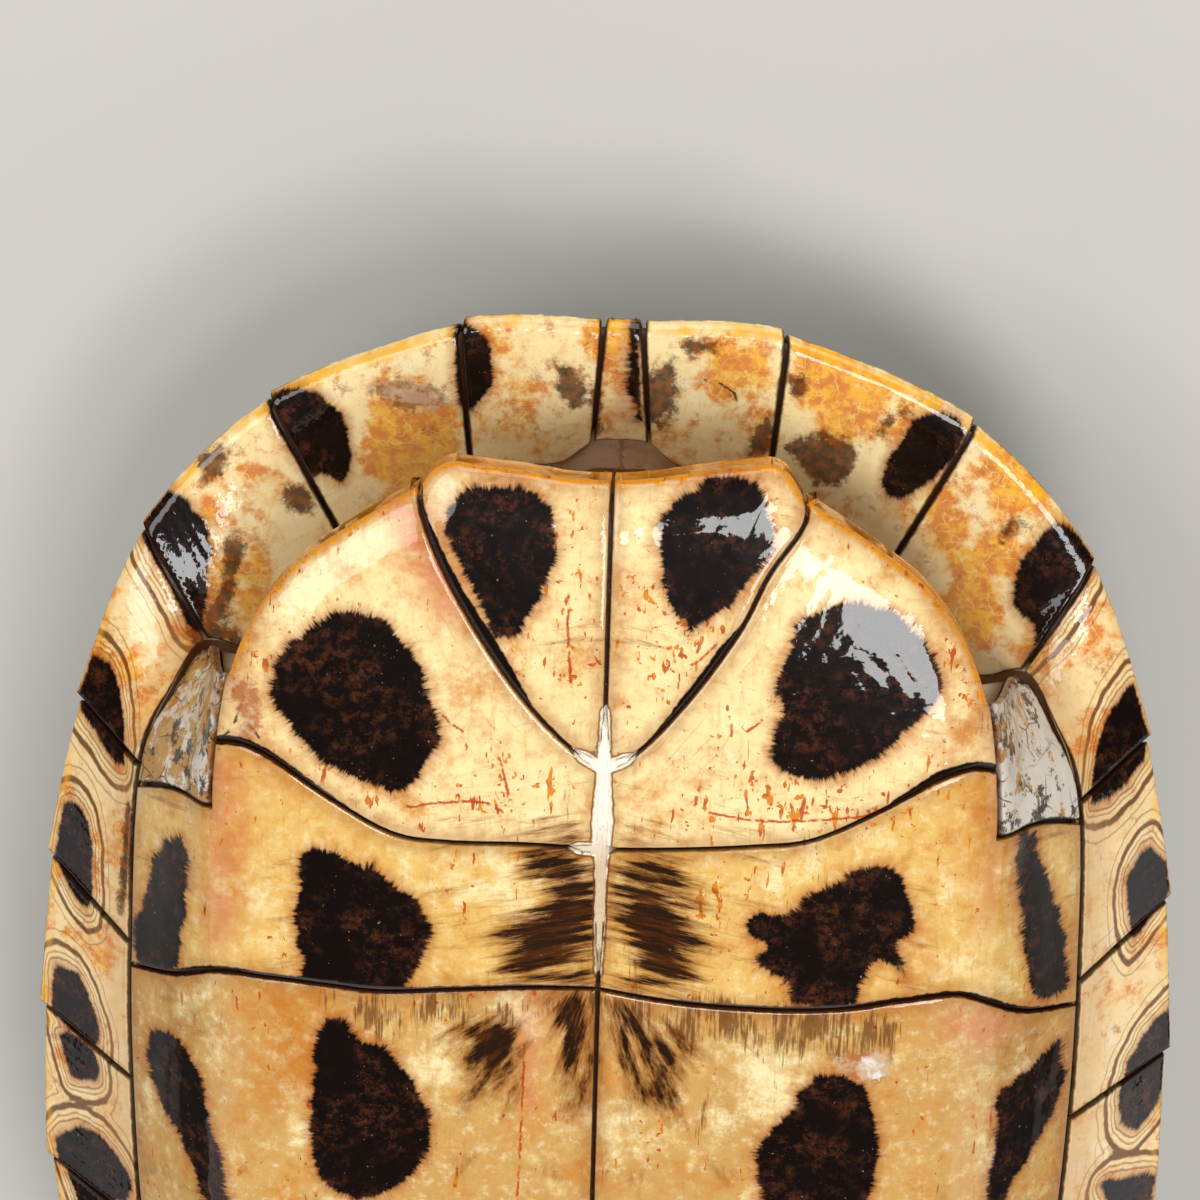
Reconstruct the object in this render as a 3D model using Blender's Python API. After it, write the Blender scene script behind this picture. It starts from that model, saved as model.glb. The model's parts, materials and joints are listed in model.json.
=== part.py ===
"""Slider turtle shell, lying on its back: the flat plastron is up and the domed carapace is down.

The bony shell has two halves, the carapace and the plastron, which meet at the bridge on each side.
Horny plates, the scutes, cover the bone and are separate pieces with a narrow seam round each one.
+Y is the head end, +X is the turtle's own left, +Z points out of the belly. Tables are in millimetres.
"""

import math

import bmesh
import bpy
import numpy as np
from mathutils import Vector
from mathutils.geometry import delaunay_2d_cdt

MM = 0.001

# Driving sizes, in millimetres
SHELL_HEIGHT = 76.0
SCUTE_THICKNESS = 0.9
SCUTE_BED = 0.4
EDGE_BED = 0.4
BONE_THICKNESS = 3.0
SEAM_GAP = 0.4
RIM_SEAM_GAP = 0.6
OPEN_MIDLINE_GAP = 1.3
RIM_RADIUS = 1.8
EDGE_TURN = 3.2
LIP_REACH = 5.0
SPINE_RIDGE_HEIGHT = 3.0
SPINE_RIDGE_HALF_WIDTH = 5.5
SPINE_RIDGE_END = 74.0
SPINE_RIDGE_TAPER = 10.0
CROWN_Y = 1.8
CROWN_FLAT = 0.45
DOME_FULLNESS = 0.8

# How coarse the facets are: sizes in millimetres, then counts
FACET = 8.5
SEAM_FACET = 7.0
CROWDED = 0.55
SEGMENTS_IN_MARGINAL = 2
LINE_STEPS = 16
SHARP_ANGLE = 40

# Three lines that run round the shell on the +X side, each row a station and a place. A station
# counts the seams between marginal scutes from the head end (0) to the tail (13): the rim's edge,
# the seam on the dome, and the scutes' inner edge on the belly side
RIM = [
    (0, 0, 98, 45), (1, 2.5, 98, 45), (2, 20.4, 96.9, 45.3), (3, 44.6, 86.5, 46.5),
    (4, 60.5, 69.5, 49.5), (5, 68.9, 46.8, 52), (6, 73, 25, 53), (7, 74.4, 3.5, 54),
    (8, 74, -19, 54.5), (9, 70, -43, 55), (10, 61.5, -64, 55.5), (11, 46.5, -81, 56),
    (12, 26, -93.2, 56.5), (13, 0, -96.9, 57),
]
DORSAL_SEAM = [
    (0, 0, 82.5, 33), (1, 4, 82.8, 33), (2, 17, 82, 33), (3, 36.5, 73.5, 33.5), (4, 50.5, 59.5, 35),
    (5, 59.5, 42, 37), (6, 64, 23, 38), (7, 65.8, 3, 39), (8, 65.2, -18, 40), (9, 61.5, -38.5, 41),
    (10, 53, -56, 43), (11, 40, -70, 45), (12, 22, -79.5, 46.2), (13, 0, -82.5, 46.5),
]
VENTRAL_EDGE = [
    (0, 0, 81.2, 43.3), (1, 3.6, 80.9, 43.3), (1.3, 8, 77.8, 43.4), (2, 19, 76.4, 44),
    (3, 34.8, 66.4, 45.6), (3.7, 45, 53.8, 49.2), (4, 52.2, 55.2, 51.6), (4.4, 56.2, 50.2, 55.4),
    (5, 60.2, 41, 59.8), (6, 61.5, 16.5, 61.5), (7, 61.6, -3, 62), (8, 60.5, -25, 62.5),
    (9, 57.5, -42, 61), (9.6, 52.6, -49.6, 57.6), (10, 48.5, -55, 56.4), (11, 36, -66.5, 56),
    (12, 20.5, -76, 56), (13, 0, -79.5, 56),
]
LAST_STATION = 13

# How far a marginal scute's back corner stands out past the next one, at the front and at the tail
FRONT_STEP = 0.8
TAIL_STEP = 1.4
TAIL_STEP_STATIONS = (9, 11)

# The plastron's outer edge and, between its two lobes, the ridge where it bends down to the bridge
FOLD = [
    (23.4, 84.4), (28.6, 81.2), (33.4, 78), (38.2, 74.3), (42.3, 69.4), (45, 64.4), (46.6, 60),
    (47.4, 56.6), (48.3, 50.4), (48.9, 41.5), (48.4, 28), (48, 15), (48, 0), (48, -15), (47.6, -28),
    (47.2, -38), (45.8, -46), (44, -52), (41, -60), (36, -69), (29.5, -77), (22, -84), (15.5, -88.5),
    (8, -86), (0, -82.5),
]
LOBE_END, HUMERAL_END, AXILLARY_END = 6, 8, 9
INGUINAL_START, INGUINAL_END, FEMORAL_END = 15, 16, 18
FOLD_END = len(FOLD) - 1

# Stations along the ventral edge where the bridge starts and ends, and where its seams reach it
BRIDGE_FRONT, AXILLARY_SEAM, PECTORAL_SEAM, INGUINAL_SEAM, BRIDGE_BACK = 4.0, 5.12, 6.14, 8.6, 9.6

# Where the plastron's cross seams meet its midline
GULAR_FRONT, GULAR_BACK, HUMERAL_BACK, PECTORAL_BACK = 85.9, 49.6, 38.8, 19.8
ABDOMINAL_BACK, FEMORAL_BACK, ANAL_BACK = -28.0, -52.0, -82.5

# Seams of the plastron that differ from side to side, as distances from the midline
SIDE_SEAMS = {
    "left": {
        "gular_edge": [
            (0, 85.9), (5, 86.4), (11, 87.5), (16, 88.2), (19.3, 88.6), (21.6, 87.2), (23.4, 84.4)],
        "gular_humeral": [
            (23.4, 84.4), (23.1, 81), (19.2, 75), (16, 68), (10.5, 59.4), (4.5, 52.2), (0, 49.6)],
        "humeral_pectoral": [
            (0, 38.8), (9, 39.2), (18.5, 40), (26, 41.2), (34.3, 45.5), (41, 49.6), (45.2, 51),
            (48.3, 50.4)],
        "pectoral_abdominal": [
            (0, 19.8), (7.4, 18.6), (15, 18), (24, 17.9), (31.5, 18.5), (38.5, 19.8), (46, 20.3),
            (54, 15.8)],
    },
    "right": {
        "gular_edge": [
            (0, 85.9), (5, 86), (11, 86.8), (16.5, 87.3), (19.4, 87.6), (21.8, 86.4), (23.4, 84.4)],
        "gular_humeral": [
            (23.4, 84.4), (22.5, 79.8), (18.4, 71), (11.6, 60.2), (5, 52.8), (0, 49.6)],
        "humeral_pectoral": [
            (0, 38.8), (9, 39.1), (19, 39), (26, 39.9), (34, 44.4), (41, 49.1), (45, 50.6),
            (48.3, 50.4)],
        "pectoral_abdominal": [
            (0, 19.8), (8, 19.6), (17.4, 18.9), (27, 18.2), (34, 18.7), (41.4, 19.2), (48.2, 19),
            (55, 15.6)],
    },
}
ABDOMINAL_FEMORAL = [(0, -28), (15, -27), (32, -29.5), (43, -35), (47.2, -38)]
FEMORAL_ANAL = [(0, -52), (14, -53.5), (28, -57), (41, -60)]

# Seams of the dome on the +X side: down the edge of the five vertebral scutes, and out from there
VERTEBRAL_EDGE = [
    (17, 82), (13.5, 66), (15.5, 50), (21.5, 33), (15.5, 16), (21.5, -2), (15, -20), (19, -37),
    (11.5, -53), (22, -79.5),
]
VERTEBRAL_SPANS = [(0, 2), (2, 4), (4, 6), (6, 8), (8, 9)]
COSTAL_SEAMS = [(3, (40, 34), 5.5), (5, (42, -4), 7.5), (7, (37, -43), 9.5)]
FIRST_COSTAL_STATION, LAST_COSTAL_STATION = 2.0, 12.0

# The plastron's edge: how wide its bend is, how steep the lobes' edges are, and how far out of the
# fold the bridge reaches its own slope. The front lobe also curves up towards its tip
BRIDGE_BEND = 5.0
BRIDGE_BLEND = 4.0
LOBE_EDGE_SLOPE = 1.04
FLAT_MARGIN = 0.35
FRONT_LOBE_START = 30.0
FRONT_LOBE_CURVE = 0.0006

# The stretch of the midline seam that has opened, and how long its ends take to close
OPEN_MIDLINE = (22.0, 57.0)
OPENING_TAPER = (8.0, 5.0)
MIDLINE_WIDTH = 1.5

# The carapace's bone behind the rim: a shelf at the head and tail, a hollow over each bridge
SHELF_FRONT, SHELF_BACK, SHELF_TAPER = 3.8, 10.0, 0.8
HOLLOW_STATIONS = (3.6, 10.2)
HOLLOW_TAPERS = (1.6, 1.4)
HOLLOW_DEPTH = 6.0

NORMAL_STEP = 0.4
STATION_STEP = 0.02


def catmull_rom(points, per_span):
    """Points on a smooth curve through the given ones, per_span for each span."""
    p = np.array(points, float)
    p = np.vstack([2 * p[0] - p[1], p, 2 * p[-1] - p[-2]])
    t = np.linspace(0, 1, per_span, endpoint=False)[:, None]
    spans = []
    for a, b, c, d in zip(p, p[1:], p[2:], p[3:]):
        spans.append(0.5 * (2 * b + (c - a) * t + (2 * a - 5 * b + 4 * c - d) * t**2
                            + (3 * b - a - 3 * c + d) * t**3))
    return np.vstack([*spans, p[-2:-1]])


def lengths_along(points):
    """Distance from the start of a polyline to each of its points."""
    return np.concatenate([[0], np.cumsum(np.linalg.norm(np.diff(points, axis=0), axis=1))])


def divided(points, count):
    """The same curve cut into a number of equal stretches."""
    lengths = lengths_along(points)
    places = np.linspace(0, lengths[-1], count + 1)
    return np.stack([np.interp(places, lengths, axis) for axis in np.array(points).T], axis=1)


def spaced(points, spacing):
    """The same curve with points an even distance apart, and both ends kept."""
    return divided(points, max(1, round(lengths_along(points)[-1] / spacing)))


def smooth_line(table):
    """A line of stations and places made fine and smooth, mirrored past the midline at its ends."""
    rows = np.array(table, float)
    first = rows[1] * [-1, -1, 1, 1]
    last = rows[-2] * [-1, -1, 1, 1] + [2 * LAST_STATION, 0, 0, 0]
    fine = catmull_rom(np.vstack([first, rows, last]), LINE_STEPS)
    return fine[LINE_STEPS:-LINE_STEPS]


def station_points(line, stations):
    """Places on a fine line at the given stations."""
    return np.stack([np.interp(stations, line[:, 0], line[:, k]) for k in (1, 2, 3)], axis=-1)


def unit(vectors):
    return vectors / np.linalg.norm(vectors, axis=-1, keepdims=True)


RIM_LINE, SEAM_LINE, INNER_LINE = map(smooth_line, (RIM, DORSAL_SEAM, VENTRAL_EDGE))


def distance_to_line(points, line):
    """Shortest distance from each point of the plan to a polyline."""
    best = np.full(len(points), np.inf)
    for a, b in zip(line, line[1:]):
        along = b - a
        t = np.clip((points - a) @ along / max(along @ along, 1e-12), 0, 1)
        best = np.minimum(best, np.linalg.norm(points - a - t[:, None] * along, axis=1))
    return best


def inside(points, ring):
    """Which points of the plan lie inside a closed ring."""
    x, y = points[:, 0], points[:, 1]
    found = np.zeros(len(points), bool)
    for (ax, ay), (bx, by) in zip(ring, np.roll(ring, -1, axis=0)):
        crosses = (ay > y) != (by > y)
        if ay != by:
            found ^= crosses & (x < (bx - ax) * (y - ay) / (by - ay) + ax)
    return found


# The plastron

def fold_piece(first, last, spacing):
    return spaced(catmull_rom(FOLD, 12)[first * 12:last * 12 + 1], spacing)


def plastron_ring():
    """The closed line round the plastron's flat part: the lobes' edges and the two ridges."""
    left = np.vstack([catmull_rom(SIDE_SEAMS["left"]["gular_edge"], 8)[:-1], catmull_rom(FOLD, 8)])
    right = np.vstack([catmull_rom(SIDE_SEAMS["right"]["gular_edge"], 8)[:-1], catmull_rom(FOLD, 8)])
    return np.vstack([left, (right * [-1, 1])[-2:0:-1]])


PLASTRON_RING = plastron_ring()


def beyond_fold(points):
    """Distance outside the plastron's ring, negative inside it."""
    closed = np.vstack([PLASTRON_RING, PLASTRON_RING[:1]])
    distance = distance_to_line(points, closed)
    return np.where(inside(points, PLASTRON_RING), -distance, distance)


def bend(beyond):
    """A ramp of slope 1 that starts smoothly over the width of the bridge's bend."""
    return (np.sqrt(beyond**2 + BRIDGE_BEND**2) + beyond) / 2


BRIDGE_EDGE = station_points(INNER_LINE, np.linspace(BRIDGE_FRONT, BRIDGE_BACK, 60))


def bridge_share(beyond):
    """How far a point is from the fold's own slope to the bridge's, from 0 to 1."""
    share = np.clip(beyond / BRIDGE_BLEND, 0, 1)
    return share * share * (3 - 2 * share)


def extra_bridge_slopes():
    """How much steeper than the lobes' edges the bridge is where it meets the rim."""
    beyond = beyond_fold(BRIDGE_EDGE[:, :2])
    needed = (SHELL_HEIGHT - BRIDGE_EDGE[:, 2] + FLAT_MARGIN) / bend(beyond)
    return (needed - LOBE_EDGE_SLOPE) / bridge_share(beyond)


EXTRA_SLOPES = extra_bridge_slopes()


def plastron_height(points):
    """Height of the plastron's outer face: flat inside, rolled at the edges, steep at the bridge."""
    beyond = beyond_fold(points)
    extra = np.interp(-points[:, 1], -BRIDGE_EDGE[:, 1], EXTRA_SLOPES)
    slope = LOBE_EDGE_SLOPE + extra * bridge_share(beyond)
    front_rise = FRONT_LOBE_CURVE * np.clip(points[:, 1] - FRONT_LOBE_START, 0, None) ** 2
    return SHELL_HEIGHT - np.clip(slope * bend(beyond) - FLAT_MARGIN, 0, None) - front_rise


def bridge_edge_piece(first, last, spacing):
    return spaced(station_points(INNER_LINE, np.linspace(first, last, 40))[:, :2], spacing)


def midline_piece(start, end, spacing):
    return spaced(np.array([(0, start), (0, end)], float), spacing)


def plastron_seams(side, spacing):
    """Every edge and seam of one half of the plastron, as points in the +X half of the plan."""
    own = {name: spaced(catmull_rom(points, 12), spacing)
           for name, points in SIDE_SEAMS[side].items() if name != "pectoral_abdominal"}
    pectoral_end = tuple(station_points(INNER_LINE, PECTORAL_SEAM)[:2])
    inguinal_end = tuple(station_points(INNER_LINE, INGUINAL_SEAM)[:2])
    axillary_end = tuple(station_points(INNER_LINE, AXILLARY_SEAM)[:2])
    front_corner = tuple(station_points(INNER_LINE, BRIDGE_FRONT)[:2])
    back_corner = tuple(station_points(INNER_LINE, BRIDGE_BACK)[:2])
    return own | {
        "pectoral_abdominal": spaced(
            catmull_rom([*SIDE_SEAMS[side]["pectoral_abdominal"], pectoral_end], 12), spacing),
        "abdominal_femoral": spaced(catmull_rom(ABDOMINAL_FEMORAL, 12), spacing),
        "femoral_anal": spaced(catmull_rom(FEMORAL_ANAL, 12), spacing),
        "gular_midline": midline_piece(GULAR_FRONT, GULAR_BACK, spacing),
        "humeral_midline": midline_piece(GULAR_BACK, HUMERAL_BACK, spacing),
        "pectoral_midline": midline_piece(HUMERAL_BACK, PECTORAL_BACK, spacing),
        "abdominal_midline": midline_piece(PECTORAL_BACK, ABDOMINAL_BACK, spacing),
        "femoral_midline": midline_piece(ABDOMINAL_BACK, FEMORAL_BACK, spacing),
        "anal_midline": midline_piece(FEMORAL_BACK, ANAL_BACK, spacing),
        "humeral_edge": fold_piece(0, LOBE_END, spacing),
        "humeral_axillary": fold_piece(LOBE_END, HUMERAL_END, spacing),
        "pectoral_axillary": fold_piece(HUMERAL_END, AXILLARY_END, spacing),
        "axillary_back": spaced(
            catmull_rom([FOLD[AXILLARY_END], (55, 40.8), axillary_end], 8), spacing),
        "axillary_front": spaced(np.array([FOLD[LOBE_END], front_corner]), spacing),
        "axillary_rim": bridge_edge_piece(BRIDGE_FRONT, AXILLARY_SEAM, spacing),
        "pectoral_rim": bridge_edge_piece(AXILLARY_SEAM, PECTORAL_SEAM, spacing),
        "abdominal_rim": bridge_edge_piece(PECTORAL_SEAM, INGUINAL_SEAM, spacing),
        "inguinal_rim": bridge_edge_piece(INGUINAL_SEAM, BRIDGE_BACK, spacing),
        "inguinal_front": spaced(
            catmull_rom([FOLD[INGUINAL_START], (53, -35), inguinal_end], 8), spacing),
        "inguinal_back": spaced(np.array([back_corner, FOLD[INGUINAL_END]]), spacing),
        "femoral_inguinal": fold_piece(INGUINAL_START, INGUINAL_END, spacing),
        "femoral_edge": fold_piece(INGUINAL_END, FEMORAL_END, spacing),
        "anal_edge": fold_piece(FEMORAL_END, FOLD_END, spacing),
    }


# The edges that go round each plastron scute in order; a minus sign runs an edge backwards
PLASTRON_SCUTES = {
    "gular": ["gular_edge", "gular_humeral", "-gular_midline"],
    "humeral": ["-gular_humeral", "humeral_edge", "humeral_axillary", "-humeral_pectoral",
                "-humeral_midline"],
    "pectoral": ["humeral_pectoral", "pectoral_axillary", "axillary_back", "pectoral_rim",
                 "-pectoral_abdominal", "-pectoral_midline"],
    "abdominal": ["pectoral_abdominal", "abdominal_rim", "-inguinal_front", "-abdominal_femoral",
                  "-abdominal_midline"],
    "femoral": ["abdominal_femoral", "femoral_inguinal", "femoral_edge", "-femoral_anal",
                "-femoral_midline"],
    "anal": ["femoral_anal", "anal_edge", "-anal_midline"],
    "axillary": ["axillary_front", "axillary_rim", "-axillary_back", "-pectoral_axillary",
                 "-humeral_axillary"],
    "inguinal": ["inguinal_front", "inguinal_rim", "inguinal_back", "-femoral_inguinal"],
}
PLASTRON_OUTLINE = [
    "gular_edge", "humeral_edge", "axillary_front", "axillary_rim", "pectoral_rim",
    "abdominal_rim", "inguinal_rim", "inguinal_back", "femoral_edge", "anal_edge",
]
FREE_EDGES = ["gular_edge", "humeral_edge", "femoral_edge", "anal_edge"]


def joined(edges, names):
    """One closed ring made of named edges."""
    ring = [edges[n[1:]][::-1] if n[0] == "-" else edges[n] for n in names]
    return np.vstack([piece[:-1] for piece in ring])


def half_gap(points):
    """Half the width of the seam at each point: the middle of the front lobe shows bare bone."""
    x, y = np.abs(points[:, 0]), points[:, 1]
    opened = np.clip((y - OPEN_MIDLINE[0]) / OPENING_TAPER[0], 0, 1)
    opened *= np.clip((OPEN_MIDLINE[1] - y) / OPENING_TAPER[1], 0, 1)
    opened *= np.clip(MIDLINE_WIDTH - x, 0, 1)
    return (SEAM_GAP + (OPEN_MIDLINE_GAP - SEAM_GAP) * opened) / 2


def inset(ring, amounts):
    """The ring moved inwards by an amount at each of its points, at most twice that at a corner."""
    turn = np.sum(ring[:, 0] * np.roll(ring[:, 1], -1) - ring[:, 1] * np.roll(ring[:, 0], -1))
    before = unit(ring - np.roll(ring, 1, axis=0))
    after = unit(np.roll(ring, -1, axis=0) - ring)
    inward = math.copysign(1, turn) * np.array([[-1.0, 1.0]])
    normals = unit((before + after)[:, ::-1] * inward)
    square = np.abs(np.sum(normals * before[:, ::-1] * inward, axis=1))
    return ring + normals * (amounts / np.maximum(square, 0.5))[:, None]


# The dome

def dome_ring():
    stations = np.linspace(0, LAST_STATION, 400)
    half = station_points(SEAM_LINE, stations)
    return np.vstack([half, (half * [-1, 1, 1])[-2:0:-1]])


def dome_table():
    """Direction, reach and depth of the dome's edge as seen from its crown, sorted by direction."""
    ring = dome_ring()
    direction = np.arctan2(ring[:, 0], ring[:, 1] - CROWN_Y)
    order = np.argsort(direction)
    reach = np.hypot(ring[:, 0], ring[:, 1] - CROWN_Y)
    return direction[order], reach[order], ring[order, 2]


DOME_DIRECTION, DOME_REACH, DOME_DEPTH = dome_table()
FULL_DROP = 1 - math.sqrt(1 - DOME_FULLNESS**2)


def dome_height(points):
    """Height of the dome's outer face above the surface that its crown lies on."""
    direction = np.arctan2(points[:, 0], points[:, 1] - CROWN_Y)
    reach = np.interp(direction, DOME_DIRECTION, DOME_REACH, period=2 * math.pi)
    depth = np.interp(direction, DOME_DIRECTION, DOME_DEPTH, period=2 * math.pi)
    share = np.hypot(points[:, 0], points[:, 1] - CROWN_Y) / reach
    drop = 1 - np.sqrt(np.clip(1 - (DOME_FULLNESS * share) ** 2, 0, None))
    raised = (depth + CROWN_FLAT) * drop / FULL_DROP - CROWN_FLAT
    return np.clip(raised, 0, None)


def dome_edge_piece(first, last):
    stations = np.arange(first, last + 1e-6, 1 / SEGMENTS_IN_MARGINAL)
    return station_points(SEAM_LINE, stations)[:, :2]


def vertebral_edge(first, last, spacing):
    pieces = [spaced(np.array([a, b], float), spacing)[:-1]
              for a, b in zip(VERTEBRAL_EDGE[first:last], VERTEBRAL_EDGE[first + 1:last + 1])]
    return np.vstack([*pieces, [VERTEBRAL_EDGE[last]]])


def costal_seam(corner, middle, station, spacing):
    end = station_points(SEAM_LINE, station)[:2]
    return spaced(catmull_rom([VERTEBRAL_EDGE[corner], middle, tuple(end)], 12), spacing)


def straight_across(corner):
    """A vertebral scute's front or back seam, from the +X corner to its mirror image."""
    x, y = VERTEBRAL_EDGE[corner]
    return divided(np.array([(x, y), (-x, y)], float), 4)


def vertebral_ring(first, last, spacing):
    """A vertebral scute's outline. Its front and back are straight across, or follow the rim."""
    edge = vertebral_edge(first, last, spacing)
    front, back = straight_across(first)[::-1], straight_across(last)
    if first == 0:
        half = np.vstack([dome_edge_piece(0, 1)[:1], dome_edge_piece(1, FIRST_COSTAL_STATION)])
        front = np.vstack([(half * [-1, 1])[::-1], half[1:]])
    if last == len(VERTEBRAL_EDGE) - 1:
        half = dome_edge_piece(LAST_COSTAL_STATION, LAST_STATION)
        back = np.vstack([half, (half * [-1, 1])[-2::-1]])
    return np.vstack([front[:-1], edge[:-1], back[:-1], (edge * [-1, 1])[:0:-1]])


def costal_rings(spacing):
    """Outlines of the four costal scutes on the +X side, head end first."""
    starts = [(0, None, FIRST_COSTAL_STATION), *COSTAL_SEAMS]
    ends = [*COSTAL_SEAMS, (len(VERTEBRAL_EDGE) - 1, None, LAST_COSTAL_STATION)]
    rings = []
    for start, end in zip(starts, ends):
        inner = vertebral_edge(start[0], end[0], spacing)[::-1]
        outer = dome_edge_piece(start[2], end[2])
        front = costal_seam(*start, spacing) if start[1] else outer[:1]
        back = costal_seam(*end, spacing)[::-1] if end[1] else outer[-1:]
        ring = [front[:-1], outer[:-1], back[:-1], inner[:-1]]
        rings.append(np.vstack(ring))
    return rings


# The rim, which the marginal scutes wrap from the dome's seam round to the belly side. The shares
# are places along the wrap, with its sharp edge at 0.5, and the bulges are shares of the radius

WRAP_SHARES = [0, 0.22, 0.43, 0.5, 0.57, 0.78, 1]
WRAP_SIDE_STEPS = 24
UPPER_BULGE, LOWER_BULGE = 0.75, 0.6
TYPICAL_WRAP = 40.0


def wrap_profiles(stations):
    """Fine points round the rim at each station, evenly spaced on either side of its sharp edge."""
    rim, dorsal, ventral = (station_points(line, stations)
                            for line in (RIM_LINE, SEAM_LINE, INNER_LINE))
    to_dorsal, to_ventral = unit(dorsal - rim), unit(ventral - rim)
    outward = -unit(to_dorsal + to_ventral)
    dorsal_way = unit(to_dorsal - outward * np.sum(to_dorsal * outward, axis=1)[:, None])
    centre = rim - outward * RIM_RADIUS
    upper = [dorsal, (dorsal + centre) / 2 + dorsal_way * RIM_RADIUS * UPPER_BULGE,
             centre + dorsal_way * RIM_RADIUS, rim]
    lower = [rim, centre - dorsal_way * RIM_RADIUS,
             (ventral + centre) / 2 - dorsal_way * RIM_RADIUS * LOWER_BULGE, ventral]
    profiles = []
    for i in range(len(stations)):
        above, below = (divided(catmull_rom([p[i] for p in side], 10), WRAP_SIDE_STEPS)
                        for side in (upper, lower))
        profiles.append(np.vstack([above, below[1:]]))
    return np.array(profiles), outward


def wrap(stations, shares):
    """Points and outward normals of the rim's skin, one row for each station."""
    ahead, _ = wrap_profiles(np.clip(stations + STATION_STEP, 0, LAST_STATION))
    behind, _ = wrap_profiles(np.clip(stations - STATION_STEP, 0, LAST_STATION))
    here, outward = wrap_profiles(stations)
    along = ahead - behind
    across = np.gradient(here, axis=1)
    normals = unit(np.cross(across, along))
    places = np.linspace(0, 1, here.shape[1])
    pick = [[np.stack([np.interp(shares, places, line[:, k]) for k in range(3)], axis=1)
             for line in grid] for grid in (here, normals)]
    points, normals = np.array(pick[0]), unit(np.array(pick[1]))
    normals[stations <= 0] = unit(normals[stations <= 0] * [0, 1, 1])
    normals[stations >= LAST_STATION] = unit(normals[stations >= LAST_STATION] * [0, 1, 1])
    return points, normals, outward


# Meshes

def height_normals(height, points, way):
    """Unit normals of a height over the plan, on the side that way (1 up, -1 down) names."""
    step = np.array([[NORMAL_STEP, 0], [0, NORMAL_STEP]])
    dx, dy = ((height(points + s) - height(points - s)) / (2 * NORMAL_STEP) for s in step)
    return unit(np.stack([-dx, -dy, np.ones(len(points))], axis=1)) * way


def triangulated(outline, lines, extra, spacing):
    """Plan points and triangles that fill an outline, with every line kept as edges."""
    low, high = outline.min(0), outline.max(0)
    row = spacing * math.sqrt(0.75)
    ys = np.arange(low[1], high[1], row)
    rows = [np.stack(np.broadcast_arrays(
        np.arange(-math.ceil(high[0] / spacing), high[0] / spacing + 1) * spacing
        + (spacing / 2) * (i % 2), y), axis=1) for i, y in enumerate(ys)]
    grid = np.vstack([*rows, extra])
    grid = grid[inside(grid, outline)]
    for line in lines:
        grid = grid[distance_to_line(grid, line) > spacing * CROWDED]
    if len(extra):
        crowded = [any(0 < np.hypot(*(p - q)) < spacing * CROWDED for q in extra) for p in grid]
        own = [any(np.hypot(*(p - q)) == 0 for q in extra) for p in grid]
        grid = grid[~np.array(crowded) | np.array(own)]
    points, edges = [tuple(p) for p in grid], []
    index = {}
    for line in lines:
        ids = []
        for p in line:
            key = tuple(np.round(p, 4))
            if key not in index:
                index[key] = len(points)
                points.append(tuple(p))
            ids.append(index[key])
        edges += [(a, b) for a, b in zip(ids, ids[1:]) if a != b]
    found = delaunay_2d_cdt([Vector(p) for p in points], edges, [], 0, 1e-5)
    plan = np.array([tuple(v) for v in found[0]])
    faces = np.array(found[2])
    middle = plan[faces].mean(axis=1)
    faces = faces[inside(middle, outline)]
    used, flat = np.unique(faces, return_inverse=True)
    return plan[used], flat.reshape(-1, 3)


def boundary_loop(faces):
    """Vertices round the open edge of some triangles, in the triangles' own direction."""
    ends = {(a, b) for f in faces for a, b in zip(f, np.roll(f, -1))}
    following = {a: b for a, b in ends if (b, a) not in ends}
    loop = [next(iter(following))]
    while following[loop[-1]] != loop[0]:
        loop.append(following[loop[-1]])
    return loop


def closed_plate(outer, inner, faces):
    """A closed solid between an outer and an inner copy of the same open triangles."""
    count = len(outer)
    loop = boundary_loop(faces)
    walls = [(b, a, a + count, b + count) for a, b in zip(loop, loop[1:] + loop[:1])]
    inner_faces = [tuple(int(i) + count for i in f[::-1]) for f in faces]
    return np.vstack([outer, inner]), [*(tuple(map(int, f)) for f in faces), *inner_faces, *walls]


def edged_plate(outer, inner, faces, free):
    """A closed plate whose free edge is turned down over the edge of the bone below it."""
    points, sides = closed_plate(outer, inner, faces)
    count, loop = len(outer), boundary_loop(faces)
    start = next((i for i, v in enumerate(loop) if free[v] and not free[loop[i - 1]]), None)
    if start is None:
        return points, sides
    run = []
    for v in loop[start:] + loop[:start]:
        if not free[v]:
            break
        run.append(v)
    if len(run) < 2:
        return points, sides
    low = outer[run, 2:] - EDGE_TURN
    first = len(points)
    points = np.vstack([points, np.hstack([outer[run, :2], low]), np.hstack([inner[run, :2], low])])
    for i, (a, b) in enumerate(zip(run, run[1:])):
        c, d = first + i, first + i + 1
        e, f = c + len(run), d + len(run)
        sides.remove((b, a, a + count, b + count))
        sides += [(b, a, c, d), (d, c, e, f), (f, e, a + count, b + count)]
    c, d = first, first + len(run) - 1
    sides.append((run[0], run[0] + count, c + len(run), c))
    sides.append((run[-1] + count, run[-1], d, d + len(run)))
    return points, sides


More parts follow.
